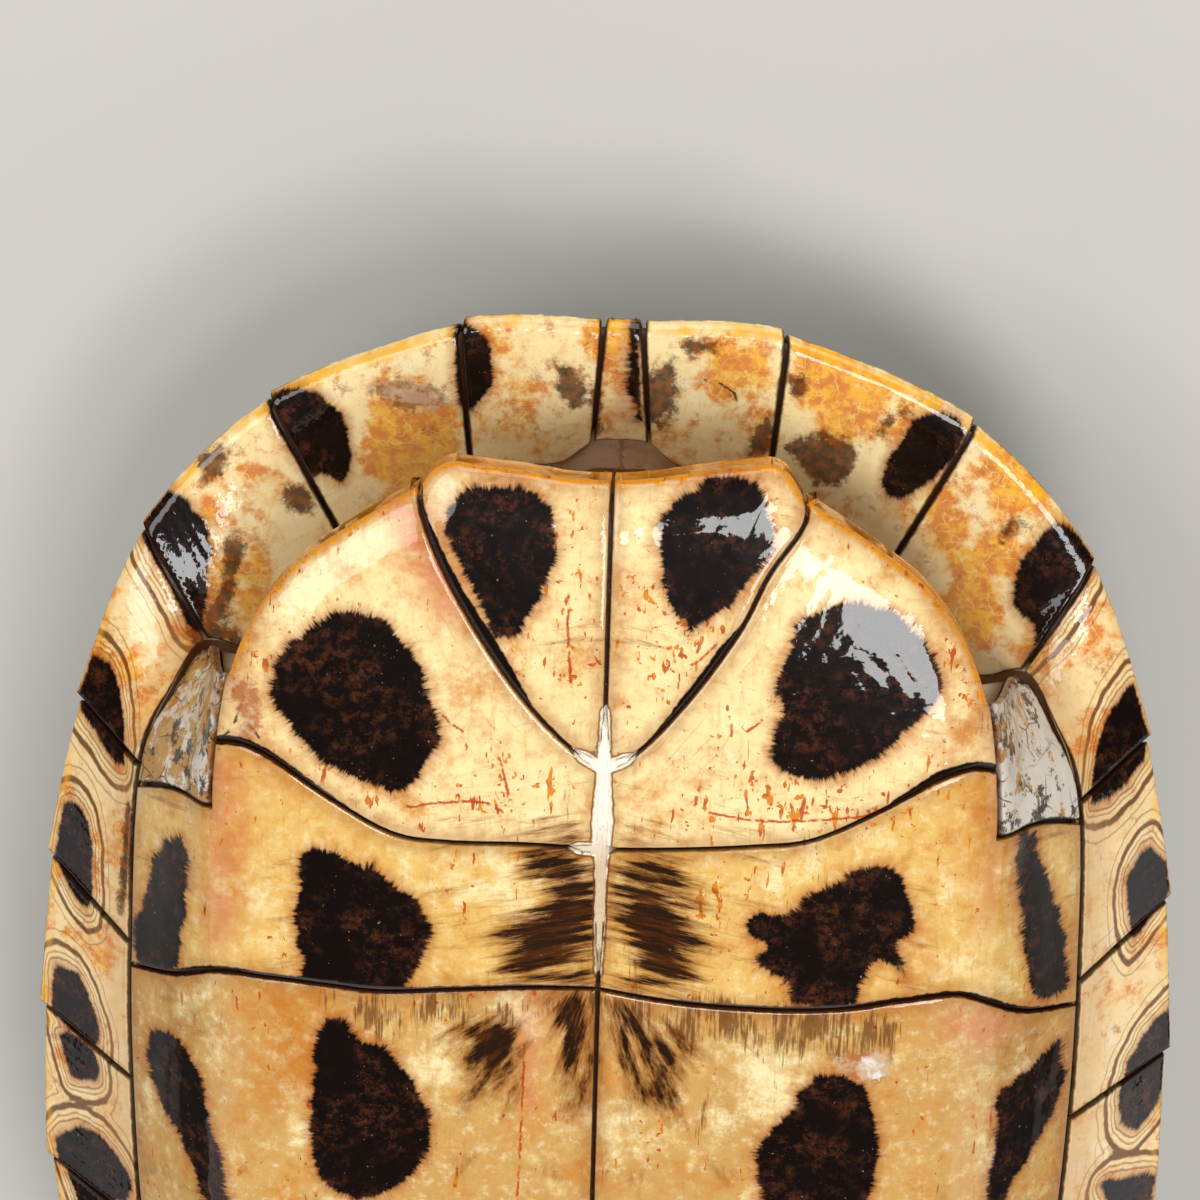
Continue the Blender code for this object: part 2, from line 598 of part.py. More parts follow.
def add_piece(name, points, faces, material):
    """One named object from points in millimetres, its faces turned outwards and shaded."""
    mesh = bpy.data.meshes.new(name)
    mesh.from_pydata([tuple(p * MM) for p in points], [], faces)
    edit = bmesh.new()
    edit.from_mesh(mesh)
    bmesh.ops.recalc_face_normals(edit, faces=edit.faces)
    if edit.calc_volume(signed=True) < 0:
        bmesh.ops.reverse_faces(edit, faces=edit.faces)
    bmesh.ops.triangulate(edit, faces=edit.faces)
    edit.to_mesh(mesh)
    edit.free()
    mesh.materials.append(material)
    mesh.shade_smooth()
    mesh.set_sharp_from_angle(angle=math.radians(SHARP_ANGLE))
    piece = bpy.data.objects.new(name, mesh)
    bpy.context.scene.collection.objects.link(piece)
    return piece


def principled(name, colour, roughness):
    material = bpy.data.materials.new(name)
    material.use_nodes = True
    shader = material.node_tree.nodes["Principled BSDF"]
    shader.inputs["Base Color"].default_value = (*colour, 1)
    shader.inputs["Roughness"].default_value = roughness
    return material


def add_scutes(rings, plan, faces, height, way, material, free=None):
    """Each named scute: the sheet's triangles inside its ring, with its edge pulled in."""
    free = np.zeros(len(plan), bool) if free is None else free
    middle = plan[faces].mean(axis=1)
    for name, ring in rings.items():
        own = faces[inside(middle, ring)]
        used, flat = np.unique(own, return_inverse=True)
        flat = flat.reshape(-1, 3)
        points = plan[used].copy()
        loop = boundary_loop(flat)
        points[loop] = inset(points[loop], half_gap(points[loop]))
        normals = height_normals(height, points, way)
        skin = np.column_stack([points, height(points)])
        inner = skin - normals * SCUTE_THICKNESS
        within = inset(points[loop], np.full(len(loop), SCUTE_THICKNESS))
        within = np.column_stack([within, height(within) - SCUTE_THICKNESS])
        inner[loop] = np.where(free[used][loop][:, None], within, inner[loop])
        solid, sides = edged_plate(skin, inner, flat, free[used])
        add_piece(name, solid, sides, material)


def build_plastron(scute_material, bone_material):
    edges = {side: plastron_seams(side, SEAM_FACET) for side in SIDE_SEAMS}
    flip = {"left": np.array([1, 1]), "right": np.array([-1, 1])}
    rings = {f"{scute}_{side}": joined(edges[side], names) * flip[side]
             for scute, names in PLASTRON_SCUTES.items() for side in SIDE_SEAMS}
    lines = [edge * flip[side] for side in SIDE_SEAMS for edge in edges[side].values()]
    left = np.vstack([edges["left"][n][:-1] for n in PLASTRON_OUTLINE])
    right = np.vstack([edges["right"][n][:-1] for n in PLASTRON_OUTLINE]) * flip["right"]
    outline = np.vstack([left, [(0, ANAL_BACK)], right[:0:-1]])
    plan, faces = triangulated(outline, lines, np.zeros((0, 2)), FACET)
    to_free = [distance_to_line(plan, edges[side][name] * flip[side])
               for side in SIDE_SEAMS for name in FREE_EDGES]
    free = np.min(to_free, axis=0) < SEAM_GAP / 10
    add_scutes(rings, plan, faces, plastron_height, 1, scute_material, free)

    bone = plan.copy()
    loop = boundary_loop(faces)
    bone[loop] = inset(bone[loop], SEAM_GAP + free[loop] * (SCUTE_THICKNESS + SCUTE_BED))
    normals = height_normals(plastron_height, bone, 1)
    skin = np.column_stack([bone, plastron_height(bone)])
    outer = skin - normals * (SCUTE_THICKNESS + SCUTE_BED + free * EDGE_BED)[:, None]
    solid, sides = closed_plate(outer, outer - normals * BONE_THICKNESS, faces)
    add_piece("plastron_bone", solid, sides, bone_material)


def ring_stations():
    """Stations round the whole rim, with the side that each is on: +1 for the turtle's left."""
    half = [0.0, *np.arange(1, LAST_STATION + 1e-6, 1 / SEGMENTS_IN_MARGINAL)]
    return [(s, 1) for s in half] + [(s, -1) for s in half[-2:0:-1]]


def marginal_step(station, start):
    """How far the rim of a marginal scute stands out at a station between its two seams."""
    size = np.interp(station, TAIL_STEP_STATIONS, (FRONT_STEP, TAIL_STEP))
    return size * (station - start) ** 2


def scute_shares():
    """Places along the wrap where a rim scute has its points, its two ends half a seam short."""
    return np.clip(WRAP_SHARES, SEAM_GAP / 2 / TYPICAL_WRAP, 1 - SEAM_GAP / 2 / TYPICAL_WRAP)


def add_marginal(name, start, end, side, material):
    """One scute that wraps the rim between two stations."""
    gap = RIM_SEAM_GAP / 2 / np.linalg.norm(np.diff(station_points(RIM_LINE, [start, end]), axis=0))
    gap *= end - start
    stations = np.linspace(start + gap, end - gap, SEGMENTS_IN_MARGINAL + 1)
    shares = scute_shares()
    points, normals, outward = wrap(stations, shares)
    near_rim = np.clip(1 - np.abs(shares - 0.5) / 0.3, 0, 1)
    stand = marginal_step(stations, start)
    points += outward[:, None, :] * (stand[:, None] * near_rim[None, :])[..., None]
    add_grid(name, points, normals, side, material)


def add_grid(name, points, normals, side, material):
    """A closed plate from a grid of points on its outer face."""
    rows, columns = points.shape[:2]
    mirror = np.array([side, 1, 1])
    skin = (points * mirror).reshape(-1, 3)
    under = ((points - normals * SCUTE_THICKNESS) * mirror).reshape(-1, 3)
    quads = [(r * columns + c, r * columns + c + 1, (r + 1) * columns + c + 1, (r + 1) * columns + c)
             for r in range(rows - 1) for c in range(columns - 1)]
    faces = [f for q in quads for f in ((q[0], q[1], q[2]), (q[0], q[2], q[3]))]
    solid, sides = closed_plate(skin, under, np.array(faces))
    add_piece(name, solid, sides, material)


def add_nuchal(material):
    """The narrow scute on the midline at the head end, made as both halves of its wrap at once."""
    gap = RIM_SEAM_GAP / 2 / RIM[1][1]
    points, normals, _ = wrap(np.array([0, 1 - gap]), scute_shares())
    mirror = np.array([-1, 1, 1])
    both = np.stack([points[1] * mirror, points[0], points[1]])
    both_normals = np.stack([normals[1] * mirror, normals[0], normals[1]])
    add_grid("nuchal", both, both_normals, 1, material)


def build_rim(material):
    add_nuchal(material)
    for number in range(1, LAST_STATION):
        for side, word in ((1, "left"), (-1, "right")):
            add_marginal(f"marginal_{number:02d}_{word}", number, number + 1, side, material)


def spine_ridge(points):
    """How much thicker the carapace is along the midline, where the backbone is joined to it."""
    across = np.clip(1 - np.abs(points[:, 0]) / SPINE_RIDGE_HALF_WIDTH, 0, 1)
    along = np.clip((SPINE_RIDGE_END - np.abs(points[:, 1])) / SPINE_RIDGE_TAPER, 0, 1)
    return SPINE_RIDGE_HEIGHT * across * along


def spine_points():
    """Points along the midline and beside it, so that the crown's flat and the ridge have edges."""
    reach = SPINE_RIDGE_END - SPINE_RIDGE_TAPER / 2
    ys = CROWN_Y + np.linspace(-reach, reach, 2 * round(reach / FACET) + 1)
    return np.array([(x, y) for y in ys
                     for x in (0, -SPINE_RIDGE_HALF_WIDTH, SPINE_RIDGE_HALF_WIDTH)])


def build_carapace(scute_material, bone_material):
    vertebrals = {f"vertebral_{i + 1}": vertebral_ring(a, b, SEAM_FACET)
                  for i, (a, b) in enumerate(VERTEBRAL_SPANS)}
    rings = dict(vertebrals)
    for i, ring in enumerate(costal_rings(SEAM_FACET)):
        rings[f"costal_{i + 1}_left"] = ring
        rings[f"costal_{i + 1}_right"] = ring * [-1, 1]
    stations = ring_stations()
    outline = np.array([station_points(SEAM_LINE, s)[:2] * [side, 1] for s, side in stations])
    lines = [np.vstack([r, r[:1]]) for r in rings.values()]
    plan, faces = triangulated(outline, lines, spine_points(), FACET)
    add_scutes(rings, plan, faces, dome_height, -1, scute_material)

    normals = height_normals(dome_height, plan, -1)
    skin = np.column_stack([plan, dome_height(plan)])
    outer = skin - normals * (SCUTE_THICKNESS + SCUTE_BED)
    inner = outer - normals * (BONE_THICKNESS + spine_ridge(plan))[:, None]
    add_carapace_bone(outer, inner, faces, plan, outline, stations, bone_material)


def add_carapace_bone(outer, inner, faces, plan, outline, stations, material):
    """The dome's two faces joined by rings that run out round the rim and back inside it."""
    points, solid_faces = [*outer, *inner], []
    count = len(outer)
    solid_faces += [tuple(map(int, f)) for f in faces]
    solid_faces += [tuple(int(i) + count for i in f[::-1]) for f in faces]
    edge = [int(np.argmin(np.hypot(*(plan - p).T))) for p in outline]

    values = np.array([s for s, _ in stations])
    mirror = np.array([(side, 1, 1) for _, side in stations])
    skin, normals, outward = wrap(values, np.array(WRAP_SHARES[1:]))
    deep = skin - normals * (SCUTE_THICKNESS + SCUTE_BED)
    shelf = np.clip((SHELF_FRONT - values) / SHELF_TAPER, 0, 1)
    shelf += np.clip((values - SHELF_BACK) / SHELF_TAPER, 0, 1)
    flat_outward = unit(outward * [1, 1, 0])
    lip = deep[:, -1] - normals[:, -1] * (BONE_THICKNESS * (1 - 0.5 * shelf))[:, None]
    lip -= flat_outward * (LIP_REACH * shelf)[:, None]
    start = np.array([inner[i] for i in edge]) * mirror
    hollow = np.clip((values - HOLLOW_STATIONS[0]) / HOLLOW_TAPERS[0], 0, 1)
    hollow *= np.clip((HOLLOW_STATIONS[1] - values) / HOLLOW_TAPERS[1], 0, 1)
    rings = [deep[:, k] for k in range(deep.shape[1])] + [lip]
    for share in (1 / 3, 2 / 3):
        bulge = outward * (HOLLOW_DEPTH * hollow)[:, None] * 4 * share * (1 - share)
        rings.append(lip + (start - lip) * share + bulge)

    sides = mirror[:, 0]
    previous = edge
    for ring in rings:
        ids = list(range(len(points), len(points) + len(ring)))
        points += list(ring * mirror)
        solid_faces += band(previous, ids, sides)
        previous = ids
    solid_faces += band(previous, [i + count for i in edge], sides)
    add_piece("carapace_bone", np.array(points), solid_faces, material)


def band(first, second, sides):
    """Triangles between two closed rings, cut on the same diagonal as the scutes over them."""
    faces = []
    for i in range(len(first)):
        j = (i + 1) % len(first)
        a, b, c, d = first[i], first[j], second[j], second[i]
        on_left = sides[i] + sides[j] > 0
        faces += [(a, b, c), (a, c, d)] if on_left else [(a, b, d), (b, c, d)]
    return faces


def clear_scene():
    for old in list(bpy.data.objects):
        bpy.data.objects.remove(old)


def build():
    clear_scene()
    bone = principled("bone", (0.72, 0.62, 0.47), 0.45)
    belly_scute = principled("belly_scute", (0.80, 0.58, 0.27), 0.18)
    rim_scute = principled("rim_scute", (0.72, 0.46, 0.18), 0.18)
    back_scute = principled("back_scute", (0.10, 0.075, 0.03), 0.2)
    build_plastron(belly_scute, bone)
    build_rim(rim_scute)
    build_carapace(back_scute, bone)


build()
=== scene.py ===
# %% [markdown]
# A slider turtle's dry shell lies on its back, with the flat belly plate (the plastron) up and the domed back
# (the carapace) down. Real shells are bone with separate horny plates, the scutes, on top of it, so this scene
# makes one piece for each scute and one for each bone. The solids that carry them are loaded first, and every
# piece below stands for one of them.

# %% Load the frame
import bpy
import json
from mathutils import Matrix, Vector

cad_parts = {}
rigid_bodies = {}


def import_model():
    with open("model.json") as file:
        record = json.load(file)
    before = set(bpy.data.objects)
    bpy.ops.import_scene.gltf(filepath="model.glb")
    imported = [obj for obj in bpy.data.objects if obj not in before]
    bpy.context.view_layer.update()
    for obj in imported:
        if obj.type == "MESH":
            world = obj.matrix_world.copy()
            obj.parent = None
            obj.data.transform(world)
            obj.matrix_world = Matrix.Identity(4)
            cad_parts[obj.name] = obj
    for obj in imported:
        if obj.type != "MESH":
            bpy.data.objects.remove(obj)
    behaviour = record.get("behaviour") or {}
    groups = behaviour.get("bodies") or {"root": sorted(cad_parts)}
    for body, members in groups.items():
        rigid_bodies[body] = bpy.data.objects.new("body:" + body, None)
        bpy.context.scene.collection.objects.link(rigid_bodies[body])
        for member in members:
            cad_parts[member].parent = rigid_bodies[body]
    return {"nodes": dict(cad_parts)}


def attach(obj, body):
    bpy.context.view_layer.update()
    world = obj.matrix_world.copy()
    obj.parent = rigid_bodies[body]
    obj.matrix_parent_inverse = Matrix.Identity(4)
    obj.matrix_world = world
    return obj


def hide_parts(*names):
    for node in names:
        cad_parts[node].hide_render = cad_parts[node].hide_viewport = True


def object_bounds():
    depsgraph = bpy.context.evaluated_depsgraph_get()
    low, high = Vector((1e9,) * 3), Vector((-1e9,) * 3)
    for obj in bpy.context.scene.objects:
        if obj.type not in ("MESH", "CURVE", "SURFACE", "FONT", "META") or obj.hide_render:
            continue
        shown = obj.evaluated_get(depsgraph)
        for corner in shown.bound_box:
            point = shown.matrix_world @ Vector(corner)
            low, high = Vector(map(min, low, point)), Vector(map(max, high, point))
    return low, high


for startup in list(bpy.data.objects):
    bpy.data.objects.remove(startup)
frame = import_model()
CAD_BOX = [list(corner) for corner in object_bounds()]

import json
import math

import bmesh
import numpy as np
from mathutils import Matrix, Vector
from mathutils.geometry import delaunay_2d_cdt

MM = 0.001
LEFT, RIGHT = 1, -1
SIDES = {"left": LEFT, "right": RIGHT}
print("solids in the frame:", len(frame["nodes"]))

# %% [markdown]
# The photograph looks down on the belly from the head end. A camera is settled before anything else, because the
# dark blotches are placed by where they are seen in the picture. A long lens gives the small perspective that
# close product photographs have.

# %% Camera at the photograph's angle
PICTURE = 1200
LENS, SENSOR = 105, 36
CLOSEST = 0.01
CAMERA_DISTANCE = 0.42
CAMERA_TARGET = Vector((-0.001, 0.0716, 0.076))
TILT, YAW, ROLL = math.radians(20), math.radians(2), math.radians(1.5)


def add_object(name, data):
    """A new object in the scene, made from a mesh, a camera or a light."""
    made = bpy.data.objects.new(name, data)
    bpy.context.scene.collection.objects.link(made)
    return made


def camera_axes():
    """Right, up and back of the camera as rows."""
    back = Vector((math.sin(YAW) * math.cos(TILT), math.sin(TILT), math.cos(TILT) * math.cos(YAW)))
    back.normalize()
    up = (Vector((0, 1, 0)) - back * back.y).normalized()
    right = up.cross(back)
    c, s = math.cos(ROLL), math.sin(ROLL)
    return np.array([right * c + up * s, up * c - right * s, back])


CAMERA_AXES = camera_axes()
CAMERA_PLACE = np.array(CAMERA_TARGET) + CAMERA_AXES[2] * CAMERA_DISTANCE
PIXELS_PER_SLOPE = PICTURE * LENS / SENSOR


def seen_at(points):
    """Picture pixel at which each point, in millimetres, is seen."""
    offset = (points * MM - CAMERA_PLACE) @ CAMERA_AXES.T
    slope = offset[:, :2] / -offset[:, 2:]
    return PICTURE / 2 + slope * [PIXELS_PER_SLOPE, -PIXELS_PER_SLOPE]


def add_camera():
    camera = add_object("photo_camera", bpy.data.cameras.new("photo_camera"))
    camera.data.lens, camera.data.sensor_width = LENS, SENSOR
    camera.data.clip_start = CLOSEST
    place = Matrix(CAMERA_AXES.tolist()).transposed().to_4x4()
    place.translation = Vector(CAMERA_PLACE)
    camera.matrix_world = place
    bpy.context.scene.camera = camera
    return camera


print("camera at", [round(v, 3) for v in add_camera().location])

# %% [markdown]
# Everything on a shell follows a few smooth lines: the rim, the seam round the dome, the inner edge of the rim
# scutes and the ridge where the belly bends down to the bridges. Each line is written as a few places in
# millimetres, and a spline runs through them. These helpers make such lines and cut them into equal stretches.

# %% Lines through a few places
LINE_STEPS = 16
LAST_STATION = 13


def catmull_rom(points, per_span):
    """Points on a smooth curve through the given ones, per_span for each span."""
    p = np.array(points, float)
    p = np.vstack([2 * p[0] - p[1], p, 2 * p[-1] - p[-2]])
    t = np.linspace(0, 1, per_span, endpoint=False)[:, None]
    spans = []
    for a, b, c, d in zip(p, p[1:], p[2:], p[3:]):
        spans.append(0.5 * (2 * b + (c - a) * t + (2 * a - 5 * b + 4 * c - d) * t**2
                            + (3 * b - a - 3 * c + d) * t**3))
    return np.vstack([*spans, p[-2:-1]])


def closed(ring):
    return np.vstack([ring, ring[:1]])


def closed_curve(points, per_span=8):
    """A smooth closed ring through a few points."""
    p = np.array(points, float)
    ring = catmull_rom(np.vstack([p[-2:], p, p[:2]]), per_span)
    return ring[2 * per_span:-2 * per_span + 1][:-2]


def lengths_along(points):
    return np.concatenate([[0], np.cumsum(np.linalg.norm(np.diff(points, axis=0), axis=1))])


def divided(points, count):
    """The same curve cut into a number of equal stretches."""
    lengths = lengths_along(points)
    places = np.linspace(0, lengths[-1], count + 1)
    return np.stack([np.interp(places, lengths, axis) for axis in np.array(points).T], axis=1)


def spaced(points, spacing):
    return divided(points, max(1, round(lengths_along(points)[-1] / spacing)))


def smooth_line(table):
    """A line of stations and places made fine and smooth, mirrored past the midline at its ends."""
    rows = np.array(table, float)
    first = rows[1] * [-1, -1, 1, 1]
    last = rows[-2] * [-1, -1, 1, 1] + [2 * LAST_STATION, 0, 0, 0]
    fine = catmull_rom(np.vstack([first, rows, last]), LINE_STEPS)
    return fine[LINE_STEPS:-LINE_STEPS]


def station_points(line, stations):
    return np.stack([np.interp(stations, line[:, 0], line[:, k]) for k in (1, 2, 3)], axis=-1)


def unit(vectors):
    return vectors / np.linalg.norm(vectors, axis=-1, keepdims=True)


def smooth_step(value):
    value = np.clip(value, 0, 1)
    return value * value * (3 - 2 * value)


print("a ring of 4 places becomes", len(closed_curve([(0, 0), (1, 0), (1, 1), (0, 1)])), "points")

# %% [markdown]
# Nearly everything on the shell is placed by how far it is from a line: rounded edges, seams, blotches, growth
# rings. So distances are measured for many points at once, which numpy does quickly.

# %% Distances to lines and rings
LEAST_SQUARE = 1e-12


def nearest_on(points, line):
    """Distance from each point to a polyline, the length along it at the nearest place, and its length."""
    lengths = lengths_along(line)
    square = np.sum(line**2, axis=1) - 2 * points @ line.T
    nearest, last = np.argmin(square, axis=1), len(line) - 2
    best, along = np.full(len(points), np.inf), np.zeros(len(points))
    for span in (nearest - 1, nearest, 0 * nearest, 0 * nearest + last):
        span = np.clip(span, 0, last)
        start, step = line[span], line[span + 1] - line[span]
        t = np.sum((points - start) * step, axis=1) / np.maximum(np.sum(step**2, axis=1), LEAST_SQUARE)
        t = np.clip(t, 0, 1)
        distance = np.linalg.norm(points - start - t[:, None] * step, axis=1)
        closer = distance < best
        best = np.where(closer, distance, best)
        along = np.where(closer, lengths[span] + t * (lengths[span + 1] - lengths[span]), along)
    return best, along, lengths[-1]


def inside(points, ring):
    """Which points lie inside a closed ring."""
    x, y = points[:, 0], points[:, 1]
    found = np.zeros(len(points), bool)
    for (ax, ay), (bx, by) in zip(ring, np.roll(ring, -1, axis=0)):
        if ay != by:
            found ^= ((ay > y) != (by > y)) & (x < (bx - ax) * (y - ay) / (by - ay) + ax)
    return found


def ring_place(points, ring):
    """For each point: its nearest place on the ring, laid out as a circle of the same length, and its
    distance inside the ring, negative outside. The circle has no start, so no streak ends at a seam."""
    distance, along, length = nearest_on(points, closed(ring))
    turn, radius = along * 2 * math.pi / length, length / 2 / math.pi
    signed = np.where(inside(points, ring), distance, -distance)
    return np.column_stack([radius * np.cos(turn), radius * np.sin(turn), signed])


def inset(ring, amounts):
    """The ring moved inwards by an amount at each of its points, at most twice that at a corner."""
    turn = np.sum(ring[:, 0] * np.roll(ring[:, 1], -1) - ring[:, 1] * np.roll(ring[:, 0], -1))
    before = unit(ring - np.roll(ring, 1, axis=0))
    after = unit(np.roll(ring, -1, axis=0) - ring)
    inward = math.copysign(1, turn) * np.array([[-1.0, 1.0]])
    normals = unit((before + after)[:, ::-1] * inward)
    square = np.abs(np.sum(normals * before[:, ::-1] * inward, axis=1))
    return ring + normals * (amounts / np.maximum(square, 0.5))[:, None]


print("from (3, 4) to the x axis:", nearest_on(np.array([[3.0, 4.0]]), np.array([(0.0, 0.0), (9.0, 0.0)]))[0])

# %% [markdown]
# Four lines carry the whole shell. The rim, its seam with the dome and the inner edge of its underside run from
# head to tail, with a station for each rim scute, and the fold is the ridge where the flat belly ends. Only one
# half is written down, because the other is its mirror image.

# %% The lines of the shell
RIM = [
    (0, 0, 98, 45), (1, 2.5, 98, 45), (2, 20.4, 96.9, 45.3), (3, 44.6, 86.5, 46.5),
    (4, 60.5, 69.5, 49.5), (5, 68.9, 46.8, 52), (6, 73, 25, 53), (7, 74.4, 3.5, 54),
    (8, 74, -19, 54.5), (9, 70, -43, 55), (10, 61.5, -64, 55.5), (11, 46.5, -81, 56),
    (12, 26, -93.2, 56.5), (13, 0, -96.9, 57),
]
DORSAL_SEAM = [
    (0, 0, 82.5, 33), (1, 4, 82.8, 33), (2, 17, 82, 33), (3, 36.5, 73.5, 33.5), (4, 50.5, 59.5, 35),
    (5, 59.5, 42, 37), (6, 64, 23, 38), (7, 65.8, 3, 39), (8, 65.2, -18, 40), (9, 61.5, -38.5, 41),
    (10, 53, -56, 43), (11, 40, -70, 45), (12, 22, -79.5, 46.2), (13, 0, -82.5, 46.5),
]
VENTRAL_EDGE = [
    (0, 0, 81.2, 43.3), (1, 3.6, 80.9, 43.3), (1.3, 8, 77.8, 43.4), (2, 19, 76.4, 44),
    (3, 34.8, 66.4, 45.6), (3.7, 45, 53.8, 49.2), (4, 52.2, 55.2, 51.6), (4.4, 56.2, 50.2, 55.4),
    (5, 60.2, 41, 59.8), (6, 61.5, 16.5, 61.5), (7, 61.6, -3, 62), (8, 60.5, -25, 62.5),
    (9, 57.5, -42, 61), (9.6, 52.6, -49.6, 57.6), (10, 48.5, -55, 56.4), (11, 36, -66.5, 56),
    (12, 20.5, -76, 56), (13, 0, -79.5, 56),
]
FOLD = [
    (23.4, 84.4), (28.6, 81.2), (33.4, 78), (38.2, 74.3), (42.3, 69.4), (45, 64.4), (46.6, 60),
    (47.4, 56.6), (48.3, 50.4), (48.9, 41.5), (48.4, 28), (48, 15), (48, 0), (48, -15), (47.6, -28),
    (47.2, -38), (45.8, -46), (44, -52), (41, -60), (36, -69), (29.5, -77), (22, -84), (15.5, -88.5),
    (8, -86), (0, -82.5),
]

RIM_LINE, SEAM_LINE, INNER_LINE = map(smooth_line, (RIM, DORSAL_SEAM, VENTRAL_EDGE))
print("the rim is", round(2 * RIM_LINE[:, 1].max()), "mm wide, and its line has", len(RIM_LINE), "points")

# %% [markdown]
# The belly has two lobes with rolled edges at the head and tail, and between them it bends down to reach the rim.
# These bridges are what holds the two halves of a shell together. The height over the plan is one formula, so
# that all scutes meet. It is kept in a fine table, because it is asked for very often.

# %% The belly's height over its plan
SHELL_HEIGHT = 76.0
BRIDGE_BEND, BRIDGE_BLEND = 5.0, 4.0
LOBE_EDGE_SLOPE, FLAT_MARGIN = 1.04, 0.35
FRONT_LOBE_START, FRONT_LOBE_CURVE = 30.0, 0.0006
RING_STEPS = 8
BRIDGE_FRONT, BRIDGE_BACK, BRIDGE_EDGE_POINTS = 4.0, 9.6, 60
SIDE_SEAMS = {
    "left": {
        "gular_edge": [(0, 85.9), (5, 86.4), (11, 87.5), (16, 88.2), (19.3, 88.6), (21.6, 87.2), (23.4, 84.4)],
        "gular_humeral": [(23.4, 84.4), (23.1, 81), (19.2, 75), (16, 68), (10.5, 59.4), (4.5, 52.2), (0, 49.6)],
        "humeral_pectoral": [(0, 38.8), (9, 39.2), (18.5, 40), (26, 41.2), (34.3, 45.5), (41, 49.6), (45.2, 51),
            (48.3, 50.4)],
        "pectoral_abdominal": [(0, 19.8), (7.4, 18.6), (15, 18), (24, 17.9), (31.5, 18.5), (38.5, 19.8), (46, 20.3),
            (54, 15.8)]},
    "right": {
        "gular_edge": [(0, 85.9), (5, 86), (11, 86.8), (16.5, 87.3), (19.4, 87.6), (21.8, 86.4), (23.4, 84.4)],
        "gular_humeral": [(23.4, 84.4), (22.5, 79.8), (18.4, 71), (11.6, 60.2), (5, 52.8), (0, 49.6)],
        "humeral_pectoral": [(0, 38.8), (9, 39.1), (19, 39), (26, 39.9), (34, 44.4), (41, 49.1), (45, 50.6),
            (48.3, 50.4)],
        "pectoral_abdominal": [(0, 19.8), (8, 19.6), (17.4, 18.9), (27, 18.2), (34, 18.7), (41.4, 19.2), (48.2, 19),
            (55, 15.6)]},
}


def belly_ring():
    """The closed line round the belly's flat part: the lobes' edges and the two ridges."""
    left, right = (np.vstack([catmull_rom(SIDE_SEAMS[word]["gular_edge"], RING_STEPS)[:-1],
                              catmull_rom(FOLD, RING_STEPS)]) for word in SIDES)
    return np.vstack([left, (right * [-1, 1])[-2:0:-1]])


BELLY_RING = belly_ring()
BRIDGE_EDGE = station_points(INNER_LINE, np.linspace(BRIDGE_FRONT, BRIDGE_BACK, BRIDGE_EDGE_POINTS))


def beyond_fold(points):
    """Distance outside the flat part's ring, negative inside it."""
    distance, _, _ = nearest_on(points, closed(BELLY_RING))
    return np.where(inside(points, BELLY_RING), -distance, distance)


def bend(beyond):
    """A ramp of slope 1 that starts smoothly over the width of the bridge's bend."""
    return (np.sqrt(beyond**2 + BRIDGE_BEND**2) + beyond) / 2


def extra_bridge_slopes():
    """How much steeper than the lobes' edges the bridge is where it meets the rim."""
    beyond = beyond_fold(BRIDGE_EDGE[:, :2])
    needed = (SHELL_HEIGHT - BRIDGE_EDGE[:, 2] + FLAT_MARGIN) / bend(beyond)
    return (needed - LOBE_EDGE_SLOPE) / smooth_step(beyond / BRIDGE_BLEND)


EXTRA_SLOPES = extra_bridge_slopes()


def belly_height(points):
    """Height of the belly's outer face: flat inside, rolled at the edges, steep at the bridge."""
    beyond = beyond_fold(points)
    extra = np.interp(-points[:, 1], -BRIDGE_EDGE[:, 1], EXTRA_SLOPES)
    slope = LOBE_EDGE_SLOPE + extra * smooth_step(beyond / BRIDGE_BLEND)
    front_rise = FRONT_LOBE_CURVE * np.clip(points[:, 1] - FRONT_LOBE_START, 0, None) ** 2
    return SHELL_HEIGHT - np.clip(slope * bend(beyond) - FLAT_MARGIN, 0, None) - front_rise


def bilinear(table, rows, columns):
    r = np.clip(rows.astype(int), 0, table.shape[0] - 2)
    c = np.clip(columns.astype(int), 0, table.shape[1] - 2)
    a, b = (rows - r)[:, None], (columns - c)[:, None]
    return ((table[r, c] * (1 - a) + table[r + 1, c] * a) * (1 - b)
            + (table[r, c + 1] * (1 - a) + table[r + 1, c + 1] * a) * b)


def table_of(height, low, high, step):
    """A fine table of a slow height formula over a part of the plan."""
    xs, ys = np.arange(low[0], high[0] + step, step), np.arange(low[1], high[1] + step, step)
    grid = np.stack(np.broadcast_arrays(xs[:, None], ys), axis=-1)
    return height(grid.reshape(-1, 2)).reshape(len(xs), len(ys), 1)


TABLE_LOW, TABLE_HIGH, TABLE_STEP = np.array([-66, -92]), np.array([66, 92]), 0.5
BELLY_TABLE = table_of(belly_height, TABLE_LOW, TABLE_HIGH, TABLE_STEP)


def table_height(points):
    place = (points - TABLE_LOW) / TABLE_STEP
    return bilinear(BELLY_TABLE, place[:, 0], place[:, 1])[:, 0]


print("the middle of the belly is", round(float(table_height(np.zeros((1, 2)))[0]), 2), "mm high")

# %% [markdown]
# Six pairs of scutes cover the belly, and a small one fills each notch of the bridges. A scute is a list of the
# seams round it. Neighbours share their seam's line, so they can't gap or overlap. The front seams of the two
# sides aren't quite alike on this animal.

